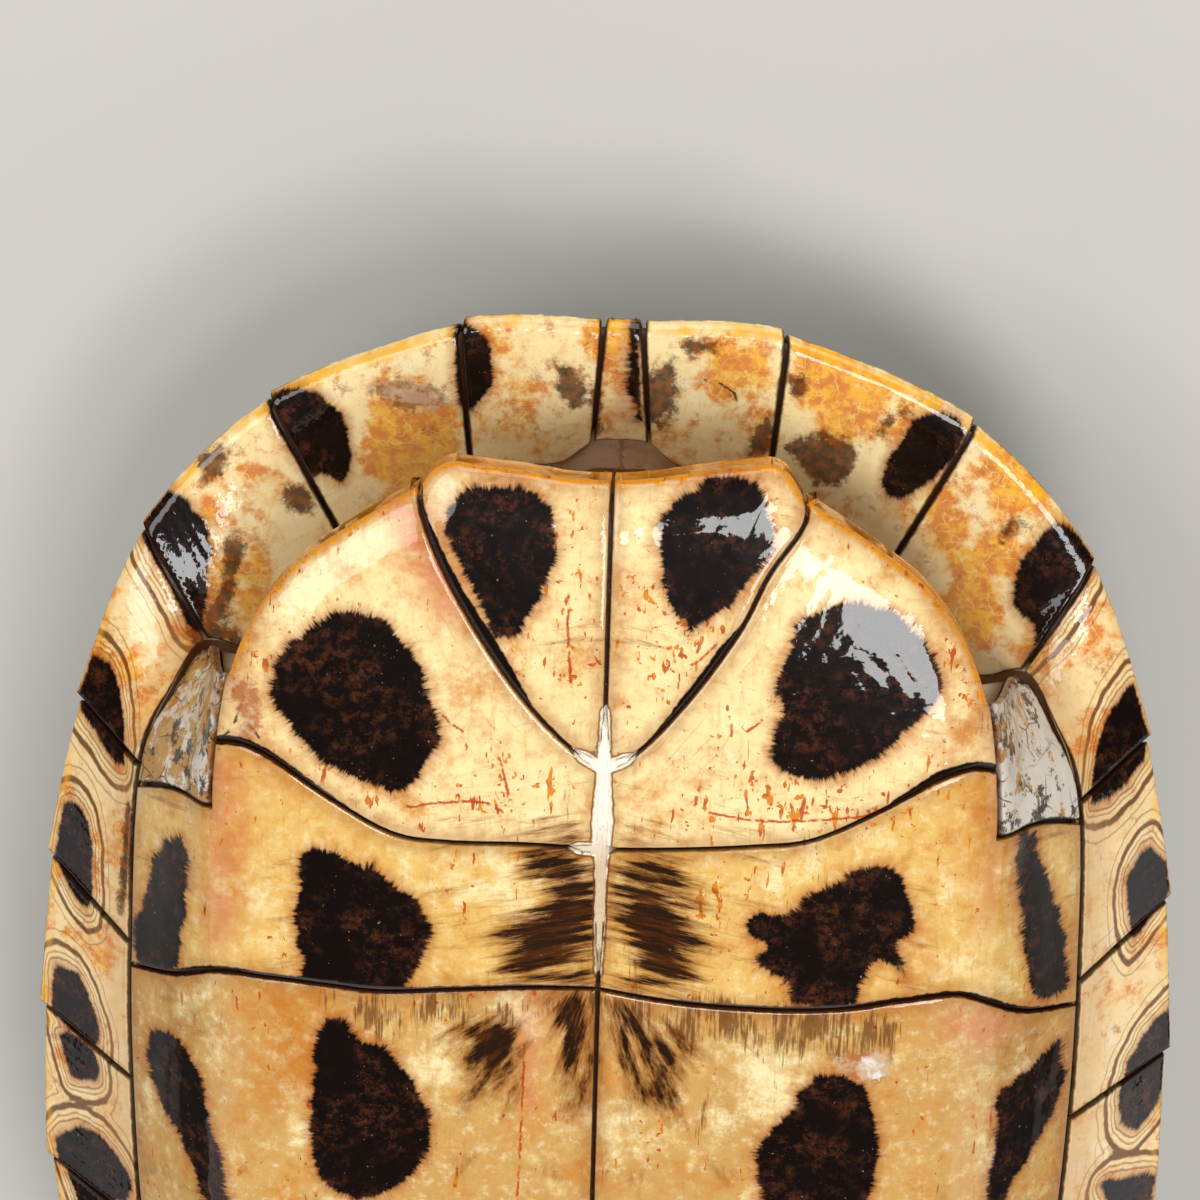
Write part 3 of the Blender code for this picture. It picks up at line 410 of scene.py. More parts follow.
# %% Seams and outlines of the belly scutes
SEAM_STEPS, CORNER_STEPS, RIM_EDGE_POINTS = 12, 8, 40
MIDLINE_SPANS = {"gular": (85.9, 49.6), "humeral": (49.6, 38.8), "pectoral": (38.8, 19.8),
                 "abdominal": (19.8, -28.0), "femoral": (-28.0, -52.0), "anal": (-52.0, -82.5)}
FOLD_SPANS = {"humeral_edge": (0, 6), "humeral_axillary": (6, 8), "pectoral_axillary": (8, 9),
              "femoral_inguinal": (15, 16), "femoral_edge": (16, 18), "anal_edge": (18, 24)}
BRIDGE_SPANS = {"axillary_rim": (BRIDGE_FRONT, 5.12), "pectoral_rim": (5.12, 6.14),
                "abdominal_rim": (6.14, 8.6), "inguinal_rim": (8.6, BRIDGE_BACK)}
AXILLARY_BACK, INGUINAL_FRONT = (55, 40.8), (53, -35)
ABDOMINAL_FEMORAL = [(0, -28), (15, -27), (32, -29.5), (43, -35), (47.2, -38)]
FEMORAL_ANAL = [(0, -52), (14, -53.5), (28, -57), (41, -60)]


def belly_seams(side, spacing):
    """Every edge and seam of one half of the belly, as points in the +X half of the plan."""
    rim = {name: station_points(INNER_LINE, np.linspace(*ends, RIM_EDGE_POINTS))[:, :2]
           for name, ends in BRIDGE_SPANS.items()}
    own = SIDE_SEAMS[side]
    curves = own | {"pectoral_abdominal": [*own["pectoral_abdominal"], rim["pectoral_rim"][-1]],
                    "abdominal_femoral": ABDOMINAL_FEMORAL, "femoral_anal": FEMORAL_ANAL}
    lines = rim | {name: catmull_rom(points, SEAM_STEPS) for name, points in curves.items()} | {
        "axillary_back": catmull_rom([FOLD[9], AXILLARY_BACK, rim["axillary_rim"][-1]], CORNER_STEPS),
        "inguinal_front": catmull_rom([FOLD[15], INGUINAL_FRONT, rim["inguinal_rim"][0]], CORNER_STEPS),
        "axillary_front": np.array([FOLD[6], rim["axillary_rim"][0]]),
        "inguinal_back": np.array([rim["inguinal_rim"][-1], FOLD[16]]),
    }
    fold = catmull_rom(FOLD, SEAM_STEPS)
    lines |= {name: fold[first * SEAM_STEPS:last * SEAM_STEPS + 1] for name, (first, last) in FOLD_SPANS.items()}
    lines |= {f"{scute}_midline": np.array([(0, front), (0, back)], float)
              for scute, (front, back) in MIDLINE_SPANS.items()}
    return {name: spaced(line, spacing) for name, line in lines.items()}


BELLY_SCUTES = {
    "gular": ["gular_edge", "gular_humeral", "-gular_midline"],
    "humeral": ["-gular_humeral", "humeral_edge", "humeral_axillary", "-humeral_pectoral", "-humeral_midline"],
    "pectoral": ["humeral_pectoral", "pectoral_axillary", "axillary_back", "pectoral_rim", "-pectoral_abdominal",
        "-pectoral_midline"],
    "abdominal": ["pectoral_abdominal", "abdominal_rim", "-inguinal_front", "-abdominal_femoral",
        "-abdominal_midline"],
    "femoral": ["abdominal_femoral", "femoral_inguinal", "femoral_edge", "-femoral_anal", "-femoral_midline"],
    "anal": ["femoral_anal", "anal_edge", "-anal_midline"],
    "axillary": ["axillary_front", "axillary_rim", "-axillary_back", "-pectoral_axillary", "-humeral_axillary"],
    "inguinal": ["inguinal_front", "inguinal_rim", "inguinal_back", "-femoral_inguinal"],
}
BELLY_OUTLINE = [
    "gular_edge", "humeral_edge", "axillary_front", "axillary_rim", "pectoral_rim",
    "abdominal_rim", "inguinal_rim", "inguinal_back", "femoral_edge", "anal_edge",
]
FREE_EDGES = ["gular_edge", "humeral_edge", "femoral_edge", "anal_edge"]


def joined(edges, names):
    """One closed ring made of named edges; a minus sign runs an edge backwards."""
    ring = [edges[n[1:]][::-1] if n[0] == "-" else edges[n] for n in names]
    return np.vstack([piece[:-1] for piece in ring])


print("belly scutes on each side:", len(BELLY_SCUTES))

# %% [markdown]
# The midline seam of the front lobe has come open, and its forks a little way too, and bone shows there as a
# white line. The opening is a share that fades out at its ends, so that the seam widens gently, and a second rule
# says how far inside the white line a point is.

# %% The opened midline
SEAM_GAP, OPEN_MIDLINE_GAP = 0.4, 1.3
OPEN_MIDLINE, OPENING_TAPER = (22.0, 57.0), (8.0, 5.0)
OPEN_SEAM_REACH, OPEN_SEAM_SOFT, FORK_LENGTH, FORK_TAPER = 0.9, 0.6, 5.0, (0.5, 3.5)
OPEN_BRANCHES = [("left", "gular_humeral"), ("right", "gular_humeral"), ("right", "humeral_pectoral")]


def open_tracks():
    """The lines along which seams have opened, each with the lengths over which its two ends taper."""
    tracks = [(np.array([(0, y) for y in OPEN_MIDLINE], float), OPENING_TAPER)]
    for word, name in OPEN_BRANCHES:
        line = catmull_rom(SIDE_SEAMS[word][name], SEAM_STEPS) * [SIDES[word], 1]
        line = line if abs(line[0, 0]) < 1 else line[::-1]
        tracks.append((line[lengths_along(line) < FORK_LENGTH], FORK_TAPER))
    return tracks


OPEN_TRACKS = open_tracks()
MIDLINE_BARE = [(22.0, 0.4), (28.0, 0.6), (36.0, 0.7), (39.0, 0.95), (42.0, 1.25), (46.0, 1.0), (49.5, 0.8),
                (57.0, 0.5)]
FORK_BARE, FORK_BLUNT = 0.75, 3.0


def bare_depth(points):
    """How far inside the white line of bare bone each point is, in millimetres, negative outside."""
    depth = np.interp(points[:, 1], *np.array(MIDLINE_BARE).T) - nearest_on(points, OPEN_TRACKS[0][0])[0]
    for line, _ in OPEN_TRACKS[1:]:
        distance, along, length = nearest_on(points, line)
        width = FORK_BARE * np.minimum(1, (1 - along / length) * FORK_BLUNT)
        depth = np.maximum(depth, width - distance)
    return depth


def opened(points):
    """How far a seam has opened at each point, 0 to 1: along the front lobe's midline and at its forks."""
    share = np.zeros(len(points))
    for line, (start, end) in OPEN_TRACKS:
        distance, along, length = nearest_on(points, line)
        here = np.clip(along / start, 0, 1) * np.clip((length - along) / end, 0, 1)
        near = np.clip((OPEN_SEAM_REACH + OPEN_SEAM_SOFT - distance) / OPEN_SEAM_SOFT, 0, 1)
        share = np.maximum(share, here * near)
    return share


def half_gap(points):
    """Half the width of the seam at each point: the middle of the front lobe shows bare bone."""
    return (SEAM_GAP + (OPEN_MIDLINE_GAP - SEAM_GAP) * opened(points)) / 2


print("opened seams:", len(OPEN_TRACKS), "; widest gap:", 2 * half_gap(np.array([[0.0, 40.0]])).round(2)[0], "mm")

# %% [markdown]
# The dome is a lens whose edge follows the seam above the rim. Its height is read from how far a point is
# between the crown and that edge, along the ray from the crown. Thirteen big scutes cover it: five down the
# middle and four on each side.

# %% The dome: height, seams and outlines
CROWN_Y, CROWN_FLAT, DOME_FULLNESS = 1.8, 0.45, 0.8
DOME_EDGE_POINTS, EDGE_PIECE_POINTS, ZIGZAG_STEPS = 400, 60, 10
FULL_DROP = 1 - math.sqrt(1 - DOME_FULLNESS**2)
VERTEBRAL_EDGE = [
    (17, 82), (13.5, 66), (15.5, 50), (21.5, 33), (15.5, 16), (21.5, -2), (15, -20), (19, -37),
    (11.5, -53), (22, -79.5),
]
VERTEBRAL_SPANS = [(0, 2), (2, 4), (4, 6), (6, 8), (8, 9)]
COSTAL_SEAMS = [(3, (40, 34), 5.5), (5, (42, -4), 7.5), (7, (37, -43), 9.5)]
FIRST_COSTAL_STATION, LAST_COSTAL_STATION = 2.0, 12.0


def from_crown(points):
    """Direction and distance of points as seen from the crown."""
    x, y = points[:, 0], points[:, 1] - CROWN_Y
    return np.arctan2(x, y), np.hypot(x, y)


def dome_edge_table():
    """Direction, reach and depth of the dome's edge as seen from its crown, sorted by direction."""
    half = station_points(SEAM_LINE, np.linspace(0, LAST_STATION, DOME_EDGE_POINTS))
    ring = np.vstack([half, (half * [-1, 1, 1])[-2:0:-1]])
    direction, reach = from_crown(ring)
    order = np.argsort(direction)
    return direction[order], reach[order], ring[order, 2]


DOME_DIRECTION, DOME_REACH, DOME_DEPTH = dome_edge_table()


def dome_height(points):
    """Height of the dome's outer face above the surface that its crown lies on."""
    direction, distance = from_crown(points)
    reach, depth = (np.interp(direction, DOME_DIRECTION, table, period=2 * math.pi)
                    for table in (DOME_REACH, DOME_DEPTH))
    drop = 1 - np.sqrt(np.clip(1 - (DOME_FULLNESS * (distance / reach)) ** 2, 0, None))
    return np.clip((depth + CROWN_FLAT) * drop / FULL_DROP - CROWN_FLAT, 0, None)


def dome_edge_piece(first, last, spacing):
    return spaced(station_points(SEAM_LINE, np.linspace(first, last, EDGE_PIECE_POINTS))[:, :2], spacing)


def vertebral_edge(first, last, spacing):
    """The zigzag side of some vertebral scutes, its corners a little rounded."""
    edge = catmull_rom(VERTEBRAL_EDGE, ZIGZAG_STEPS)
    return spaced(edge[first * ZIGZAG_STEPS:last * ZIGZAG_STEPS + 1], spacing)


def costal_seam(corner, middle, station, spacing):
    end = station_points(SEAM_LINE, station)[:2]
    return spaced(catmull_rom([VERTEBRAL_EDGE[corner], middle, tuple(end)], SEAM_STEPS), spacing)


def straight_across(corner, spacing):
    x, y = VERTEBRAL_EDGE[corner]
    return spaced(np.array([(x, y), (-x, y)], float), spacing)


def vertebral_ring(first, last, spacing):
    """A vertebral scute's outline. Its front and back are straight across, or follow the rim."""
    edge = vertebral_edge(first, last, spacing)
    front, back = straight_across(first, spacing)[::-1], straight_across(last, spacing)
    if first == 0:
        half = dome_edge_piece(0, FIRST_COSTAL_STATION, spacing)
        front = np.vstack([(half * [-1, 1])[:0:-1], half])
    if last == len(VERTEBRAL_EDGE) - 1:
        half = dome_edge_piece(LAST_COSTAL_STATION, LAST_STATION, spacing)
        back = np.vstack([half, (half * [-1, 1])[-2::-1]])
    return np.vstack([front[:-1], edge[:-1], back[:-1], (edge * [-1, 1])[:0:-1]])


def costal_rings(spacing):
    """Outlines of the four costal scutes on the +X side, head end first."""
    starts = [(0, None, FIRST_COSTAL_STATION), *COSTAL_SEAMS]
    ends = [*COSTAL_SEAMS, (len(VERTEBRAL_EDGE) - 1, None, LAST_COSTAL_STATION)]
    rings = []
    for start, end in zip(starts, ends):
        inner = vertebral_edge(start[0], end[0], spacing)[::-1]
        outer = dome_edge_piece(start[2], end[2], spacing)
        front = costal_seam(*start, spacing) if start[1] else outer[:1]
        back = costal_seam(*end, spacing)[::-1] if end[1] else outer[-1:]
        rings.append(np.vstack([front[:-1], outer[:-1], back[:-1], inner[:-1]]))
    return rings


print("dome is", round(float(dome_height(np.array([[65.0, 3.0]]))[0]), 1), "mm deep at its side")

# %% [markdown]
# The scutes round the rim are folded over its edge, so a flat outline has to be wrapped. Each point of the rim
# has a chart address: how far along the rim it is, and how far round the fold from the dome's seam. A table of
# points over that chart turns any address into a place and an outward direction.

# %% The rim: a chart that wraps the edge
RIM_RADIUS = 1.8
STAND_REACH = 0.3
PROFILE_STEPS = 10
UPPER_BULGE, LOWER_BULGE = 0.75, 0.6
WRAP_SIDE_STEPS = 32
WRAP_LENGTH = 42.0
STATION_DIVISIONS = 24
FRONT_STEP, TAIL_STEP, TAIL_STEP_STATIONS = 0.8, 1.4, (9, 11)
STATION_STEP = 0.02


def wrap_profiles(stations):
    """Fine points round the rim at each station, evenly spaced on either side of its sharp edge."""
    rim, dorsal, ventral = (station_points(line, stations)
                            for line in (RIM_LINE, SEAM_LINE, INNER_LINE))
    to_dorsal, to_ventral = unit(dorsal - rim), unit(ventral - rim)
    outward = -unit(to_dorsal + to_ventral)
    dorsal_way = unit(to_dorsal - outward * np.sum(to_dorsal * outward, axis=1)[:, None])
    centre = rim - outward * RIM_RADIUS
    upper = [dorsal, (dorsal + centre) / 2 + dorsal_way * RIM_RADIUS * UPPER_BULGE,
             centre + dorsal_way * RIM_RADIUS, rim]
    lower = [rim, centre - dorsal_way * RIM_RADIUS,
             (ventral + centre) / 2 - dorsal_way * RIM_RADIUS * LOWER_BULGE, ventral]
    profiles = []
    for i in range(len(stations)):
        above, below = (divided(catmull_rom([p[i] for p in side], PROFILE_STEPS), WRAP_SIDE_STEPS)
                        for side in (upper, lower))
        profiles.append(np.vstack([above, below[1:]]))
    return np.array(profiles), outward


def wrap(stations):
    """Points and outward normals of the rim's skin, one row for each station."""
    ahead, _ = wrap_profiles(np.clip(stations + STATION_STEP, 0, LAST_STATION))
    behind, _ = wrap_profiles(np.clip(stations - STATION_STEP, 0, LAST_STATION))
    here, outward = wrap_profiles(stations)
    normals = unit(np.cross(np.gradient(here, axis=1), ahead - behind))
    ends = (stations <= 0) | (stations >= LAST_STATION)
    normals[ends] = unit(normals[ends] * [0, 1, 1])
    return here, normals, outward


CHART_STATIONS = np.linspace(0, LAST_STATION, LAST_STATION * STATION_DIVISIONS + 1)
CHART_POINTS, CHART_NORMALS, CHART_OUTWARD = wrap(CHART_STATIONS)
CHART_LENGTHS = lengths_along(station_points(RIM_LINE, CHART_STATIONS))


def along_rim(station):
    return float(np.interp(station, CHART_STATIONS, CHART_LENGTHS))


def marginal_stand(stations, start):
    """How far the rim of a marginal scute stands out at a station between its two seams."""
    return np.interp(stations, TAIL_STEP_STATIONS, (FRONT_STEP, TAIL_STEP)) * (stations - start) ** 2


def rim_skin(chart, start=None):
    """Places and outward directions of rim addresses, on either side of the midline."""
    stations = np.interp(np.abs(chart[:, 0]), CHART_LENGTHS, CHART_STATIONS)
    rows = stations * STATION_DIVISIONS
    share = chart[:, 1] / WRAP_LENGTH
    points = bilinear(CHART_POINTS, rows, share * 2 * WRAP_SIDE_STEPS)
    normals = unit(bilinear(CHART_NORMALS, rows, share * 2 * WRAP_SIDE_STEPS))
    if start is not None:
        outward = bilinear(np.stack([CHART_OUTWARD] * 2, axis=1), rows, np.zeros(len(rows)))
        near_rim = np.clip(1 - np.abs(share - 0.5) / STAND_REACH, 0, 1)
        points = points + outward * (marginal_stand(stations, start) * near_rim)[:, None]
    mirror = np.where(chart[:, :1] < 0, -1, 1) * [1, 0, 0] + [0, 1, 1]
    return points * mirror, normals * mirror


print("half the rim is", round(CHART_LENGTHS[-1]), "mm long")

# %% [markdown]
# An outline in the plan or chart is filled with nearly even triangles, because long thin ones would catch the
# light in streaks. Rings of points follow it close inside, a staggered grid fills the rest, and Blender's own
# Delaunay tool joins them all.

# %% Fill an outline with triangles
CROWDED = 0.6
LEAST_STEP, CLEAR_OF_RING, CLEAR_OF_EDGE = 0.1, 0.93, 0.9
PLAN_TOLERANCE, INSIDE_ONLY = 1e-6, 1
NORMAL_STEP = 0.4


def height_normals(height, points, way):
    """Unit normals of a height over the plan, on the side that way (1 up, -1 down) names."""
    step = np.array([[NORMAL_STEP, 0], [0, NORMAL_STEP]])
    dx, dy = ((height(points + s) - height(points - s)) / (2 * NORMAL_STEP) for s in step)
    return unit(np.stack([-dx, -dy, np.ones(len(points))], axis=1)) * way


def belly_skin(plan):
    return np.column_stack([plan, table_height(plan)]), height_normals(table_height, plan, 1)


def dome_skin(plan):
    return np.column_stack([plan, dome_height(plan)]), height_normals(dome_height, plan, -1)


def pulled_in(ring, amounts):
    """The ring moved inwards, without the points that cross over each other in its sharp corners."""
    moved = inset(ring, amounts)
    clear = nearest_on(moved, closed(ring))[0] > CLEAR_OF_RING * amounts
    moved = moved[clear & inside(moved, ring)]
    return moved[np.linalg.norm(moved - np.roll(moved, 1, axis=0), axis=1) > LEAST_STEP]


def nearest_of(points, others):
    """Distance from each point to the nearest of some others."""
    square = np.sum(points**2, axis=1)[:, None] - 2 * points @ others.T + np.sum(others**2, axis=1)
    return np.sqrt(np.clip(square.min(axis=1), 0, None))


def filled(outline, close_rings, spacing, extra=None):
    """Plan points and triangles that fill an outline, with rings of points close inside its edge."""
    low, high = outline.min(0), outline.max(0)
    ys = np.arange(low[1], high[1], spacing * math.sqrt(0.75))
    grid = np.vstack([np.stack(np.broadcast_arrays(
        np.arange(low[0], high[0], spacing) + (spacing / 2) * (i % 2), y), axis=1)
        for i, y in enumerate(ys)])
    clear = spacing * CROWDED + (max(close_rings) if close_rings else 0)
    grid = grid[inside(grid, outline)]
    grid = grid[nearest_on(grid, closed(outline))[0] > clear]
    near = []
    for reach in close_rings:
        ring = inset(outline, np.full(len(outline), reach))
        ring = ring[nearest_on(ring, closed(outline))[0] > reach * CLEAR_OF_EDGE]
        near.append(ring[inside(ring, outline)])
    if extra is not None:
        grid = grid[nearest_of(grid, extra) > spacing * CROWDED]
        near.append(extra)
    count = len(outline)
    points = np.vstack([outline, *near, grid])
    edges = [(i, (i + 1) % count) for i in range(count)]
    found = delaunay_2d_cdt([Vector(p) for p in points], edges, [], INSIDE_ONLY, PLAN_TOLERANCE)
    plan, faces = np.array([tuple(v) for v in found[0]]), np.array(found[2])
    used, flat = np.unique(faces, return_inverse=True)
    return plan[used], flat.reshape(-1, 3)


def boundary_loop(faces):
    """Vertices round the open edge of some triangles, in the triangles' own direction."""
    ends = {(a, b) for f in faces.tolist() for a, b in zip(f, f[1:] + f[:1])}
    following = {a: b for a, b in ends if (b, a) not in ends}
    loop = [min(following)]
    while following[loop[-1]] != loop[0]:
        loop.append(following[loop[-1]])
    return np.array(loop)


print("points keep", CROWDED, "of their spacing clear of the outline")

# %% [markdown]
# A scute is a thin closed plate. Its edge rounds over into the seam, and a coarser sheet under it closes it. On a
# real shell the plates grow from the seams outwards, so the distance to the outline is kept on every point: the
# growth rings and edge stains are drawn from it.

# %% Closed plates from an outline
SCUTE_THICKNESS, EDGE_TURN = 0.9, 3.2
EDGE_RADIUS, FREE_EDGE_RADIUS, CRISP_SHARE = 0.4, 1.0, 0.8
EDGE_RINGS, UNDERSIDE_SPACING = (0.12, 0.36), 3.0


def plate(ring, spacing, skin, free=None, crisp=None):
    """A closed scute. Returns its points, triangles and chart addresses, and what is kept on its points: the
    distance to the edge, and 1 on the outer face. Where free(points) is true the edge turns down over the bone,
    and where crisp(points) is true it is hardly rounded."""
    chart, faces = filled(ring, EDGE_RINGS, spacing)
    under_chart, under_faces = filled(ring, (), UNDERSIDE_SPACING)
    loop, under_loop = boundary_loop(faces), boundary_loop(under_faces)
    first = np.argmin(np.linalg.norm(under_chart[under_loop] - chart[loop[0]], axis=1))
    under_loop = np.roll(under_loop, -first)

    edge = nearest_on(chart, closed(ring))[0]
    loose = free(chart) if free else np.zeros(len(chart))
    radius = EDGE_RADIUS + (FREE_EDGE_RADIUS - EDGE_RADIUS) * loose
    radius = radius * (1 - (CRISP_SHARE * crisp(chart) if crisp else 0))
    outer, normals = skin(chart)
    into = np.clip(1 - edge / radius, 0, 1)
    outer = outer - normals * (radius * (1 - np.sqrt(1 - into**2)))[:, None]
    under, under_normals = skin(under_chart)
    under = under - under_normals * SCUTE_THICKNESS

    turned = loose[loop] > 0.5
    within, _ = skin(inset(chart[loop], np.full(len(loop), SCUTE_THICKNESS)))
    within[:, 2] -= SCUTE_THICKNESS
    under[under_loop] = np.where(turned[:, None], within, under[under_loop])
    points = [outer, under]
    sides = [faces, under_faces[:, ::-1] + len(outer)]
    top, bottom = loop, under_loop + len(outer)
    count, total = len(loop), len(outer) + len(under)
    down = outer[loop] - [0, 0, EDGE_TURN]
    low = [down, within * [1, 1, 0] + down * [0, 0, 1]]
    lows = [total + np.arange(count), total + count + np.arange(count)]
    points += low
    for i in range(count):
        j = (i + 1) % count
        if turned[i] and turned[j]:
            strips = [(top, lows[0]), (lows[0], lows[1]), (lows[1], bottom)]
        else:
            strips = [(top, bottom)]
        for a, b in strips:
            sides.append(np.array([(a[j], a[i], b[i]), (a[j], b[i], b[j])]))
    ends = [i for i in range(count) if turned[i] and not (turned[i - 1] and turned[(i + 1) % count])]
    for i in ends:
        if turned[i - 1] or turned[(i + 1) % count]:
            a, b, c, d = top[i], bottom[i], lows[1][i], lows[0][i]
            sides.append(np.array([(a, b, c), (a, c, d)]))
    points, sides = np.vstack(points), np.vstack(sides)
    used, flat = np.unique(sides, return_inverse=True)
    charts = np.vstack([chart, under_chart, chart[loop], chart[loop]])[used]
    rest = np.zeros(len(used) - len(outer))
    kept = {"edge": np.append(edge, rest), "skin": np.append(np.ones(len(outer)), rest)}
    return points[used], flat.reshape(-1, 3), charts, kept


print("edges round over", EDGE_RADIUS, "mm, and", FREE_EDGE_RADIUS, "mm on the lobes")

# %% [markdown]
# The dark blotches, smoky streaks and fields of rust flecks were put down with the horn as the turtle grew, and
# scratches and scars came later, so all belong to fixed places on each scute. They could be painted as an image,
# but then the shell would only ever have that resolution. Here each one is an outline of a few picture pixels,
# carried along the line of sight onto the shell. The materials later read how far a point is inside an outline.

# %% Blotches as outlines on the photograph
BLOTCHES = {
    "gular_right": [[
        (477, 485), (517, 486), (542, 500), (555, 527), (557, 552), (550, 577), (539, 600), (528, 622),
        (511, 635), (491, 631), (477, 597), (461, 566), (448, 535), (446, 513), (461, 493)]],
    "gular_left": [[
        (658, 545), (660, 520), (672, 503), (690, 492), (705, 480), (725, 474), (745, 478), (760, 487),
        (768, 510), (772, 535), (768, 555), (750, 580), (735, 600), (722, 612), (700, 625), (692, 634),
        (683, 620), (672, 611), (661, 575)]],
    "humeral_right": [[
        (337, 611), (360, 613), (382, 620), (393, 631), (413, 653), (427, 681), (432, 707), (441, 729),
        (439, 746), (427, 765), (410, 785), (393, 792), (374, 786), (348, 774), (320, 760), (301, 740),
        (281, 712), (270, 695), (273, 673), (287, 648), (309, 628)]],
    "humeral_left": [[
        (797, 625), (818, 611), (849, 603), (883, 608), (911, 625), (928, 648), (942, 678), (941, 698),
        (922, 715), (903, 737), (883, 754), (855, 771), (821, 781), (788, 774), (771, 757), (774, 732),
        (782, 709), (774, 687), (788, 659)]],
    "pectoral_right": [[
        (299, 857), (311, 849), (337, 851), (353, 864), (372, 865), (394, 883), (420, 905), (429, 931),
        (423, 959), (407, 985), (400, 998), (311, 998), (302, 959), (295, 928), (297, 889)], [
        (152, 864), (161, 845), (181, 838), (187, 864), (185, 912), (179, 953), (173, 972), (149, 972),
        (133, 947), (136, 918), (149, 889)]],
    "pectoral_left": [[
        (863, 868), (879, 865), (895, 871), (905, 888), (912, 907), (913, 930), (899, 943), (905, 976),
        (892, 963), (873, 966), (860, 985), (853, 1005), (795, 1005), (788, 985), (756, 963), (765, 946),
        (746, 930), (756, 914), (788, 914), (808, 894), (837, 884), (847, 873)], [
        (1019, 836), (1035, 832), (1042, 865), (1058, 907), (1068, 953), (1068, 982), (1055, 998), (1035, 998),
        (1029, 969), (1022, 924), (1017, 875)]],
    "abdominal_right": [[
        (318, 1030), (343, 1020), (362, 1042), (385, 1045), (401, 1065), (420, 1093), (431, 1122), (426, 1154),
        (407, 1179), (381, 1195), (350, 1197), (321, 1179), (311, 1144), (311, 1087)], [
        (149, 1036), (165, 1030), (187, 1052), (200, 1081), (209, 1119), (222, 1167), (228, 1200), (240, 1230),
        (215, 1230), (203, 1200), (196, 1176), (181, 1138), (161, 1103), (145, 1055)]],
    "abdominal_left": [[
        (817, 1076), (840, 1076), (863, 1086), (873, 1112), (879, 1151), (869, 1200), (865, 1230), (770, 1230),
        (762, 1200), (756, 1154), (765, 1135), (791, 1112), (801, 1089)], [
        (1061, 1041), (1029, 1067), (1012, 1083), (996, 1099), (996, 1135), (990, 1174), (986, 1200),
        (985, 1230), (1000, 1225), (1006, 1197), (1025, 1161), (1048, 1125), (1061, 1093), (1065, 1067)]],
}
HIDDEN_BLOTCHES = {
    "femoral": [[(20, -36), (30, -33), (36, -38), (35, -46), (27, -49), (19, -45)]],
    "anal": [[(9, -62), (17, -60), (22, -66), (19, -74), (11, -75), (7, -69)]],
    "inguinal": [[(50.5, -40), (53.5, -39), (54.5, -44), (51, -46)]],
}
RIM_BLOTCHES = {
    "right": [[
        (456, 325), (470, 330), (486, 341), (492, 357), (493, 385), (484, 399), (474, 410), (461, 408),
        (456, 392)], [
        (265, 393), (281, 391), (311, 393), (331, 404), (345, 422), (350, 439), (350, 466), (343, 481),
        (331, 478), (320, 475), (311, 482), (304, 471), (285, 441), (269, 416)], [
        (141, 533), (154, 501), (173, 491), (196, 510), (207, 523), (210, 540), (212, 558), (205, 599),
        (203, 631), (189, 627), (177, 602), (166, 581), (145, 546)], [
        (86, 654), (108, 662), (120, 690), (124, 765), (95, 735), (71, 697), (74, 670)], [
        (65, 804), (84, 812), (92, 845), (90, 907), (70, 890), (56, 850)], [
        (55, 967), (78, 975), (92, 1005), (99, 1043), (75, 1035), (50, 1000)], [
        (59, 1035), (85, 1040), (99, 1070), (90, 1082), (62, 1070)], [
        (57, 1140), (90, 1130), (126, 1170), (126, 1200), (60, 1200)]],
    "left": [[
        (955, 419), (939, 416), (918, 419), (907, 430), (895, 449), (884, 467), (882, 485), (889, 497),
        (907, 499), (921, 490), (944, 469), (960, 449), (963, 435)], [
        (1031, 547), (1017, 572), (1015, 607), (1035, 625), (1031, 651), (1020, 662), (1056, 625), (1086, 579),
        (1091, 561), (1081, 540), (1058, 522), (1047, 527)], [
        (1134, 684), (1118, 700), (1103, 726), (1095, 765), (1092, 803), (1120, 790), (1145, 755), (1149, 722)], [
        (1149, 847), (1133, 865), (1126, 885), (1128, 915), (1134, 938), (1152, 915), (1170, 885), (1165, 855)], [
        (1172, 1007), (1151, 1022), (1134, 1049), (1124, 1072), (1119, 1095), (1122, 1120), (1134, 1131),
        (1145, 1120), (1165, 1090), (1178, 1040)], [
        (1101, 1185), (1125, 1177), (1153, 1177), (1160, 1230), (1101, 1230)]],
}
NUCHAL_BLOTCHES = {
    "right": [[(590, 318), (600, 320), (600, 360), (597, 398), (592, 437), (583, 437), (587, 400), (590, 355)]],
    "left": [[
        (632, 318), (641, 320), (640, 350), (640, 392), (643, 420), (638, 420), (633, 398), (626, 386),
        (625, 360), (631, 346)]],
}
print("blotches on the belly:", sum(map(len, BLOTCHES.values())), "; on the rim:",
      sum(map(len, RIM_BLOTCHES.values())))

# %% [markdown]
# Softer marks are patches, each of one kind, such as brown smoke, fields of rust flecks or a healed wound. The
# outline says where, and the material's noise says what it looks like. Fine scratches are lines instead of rings.

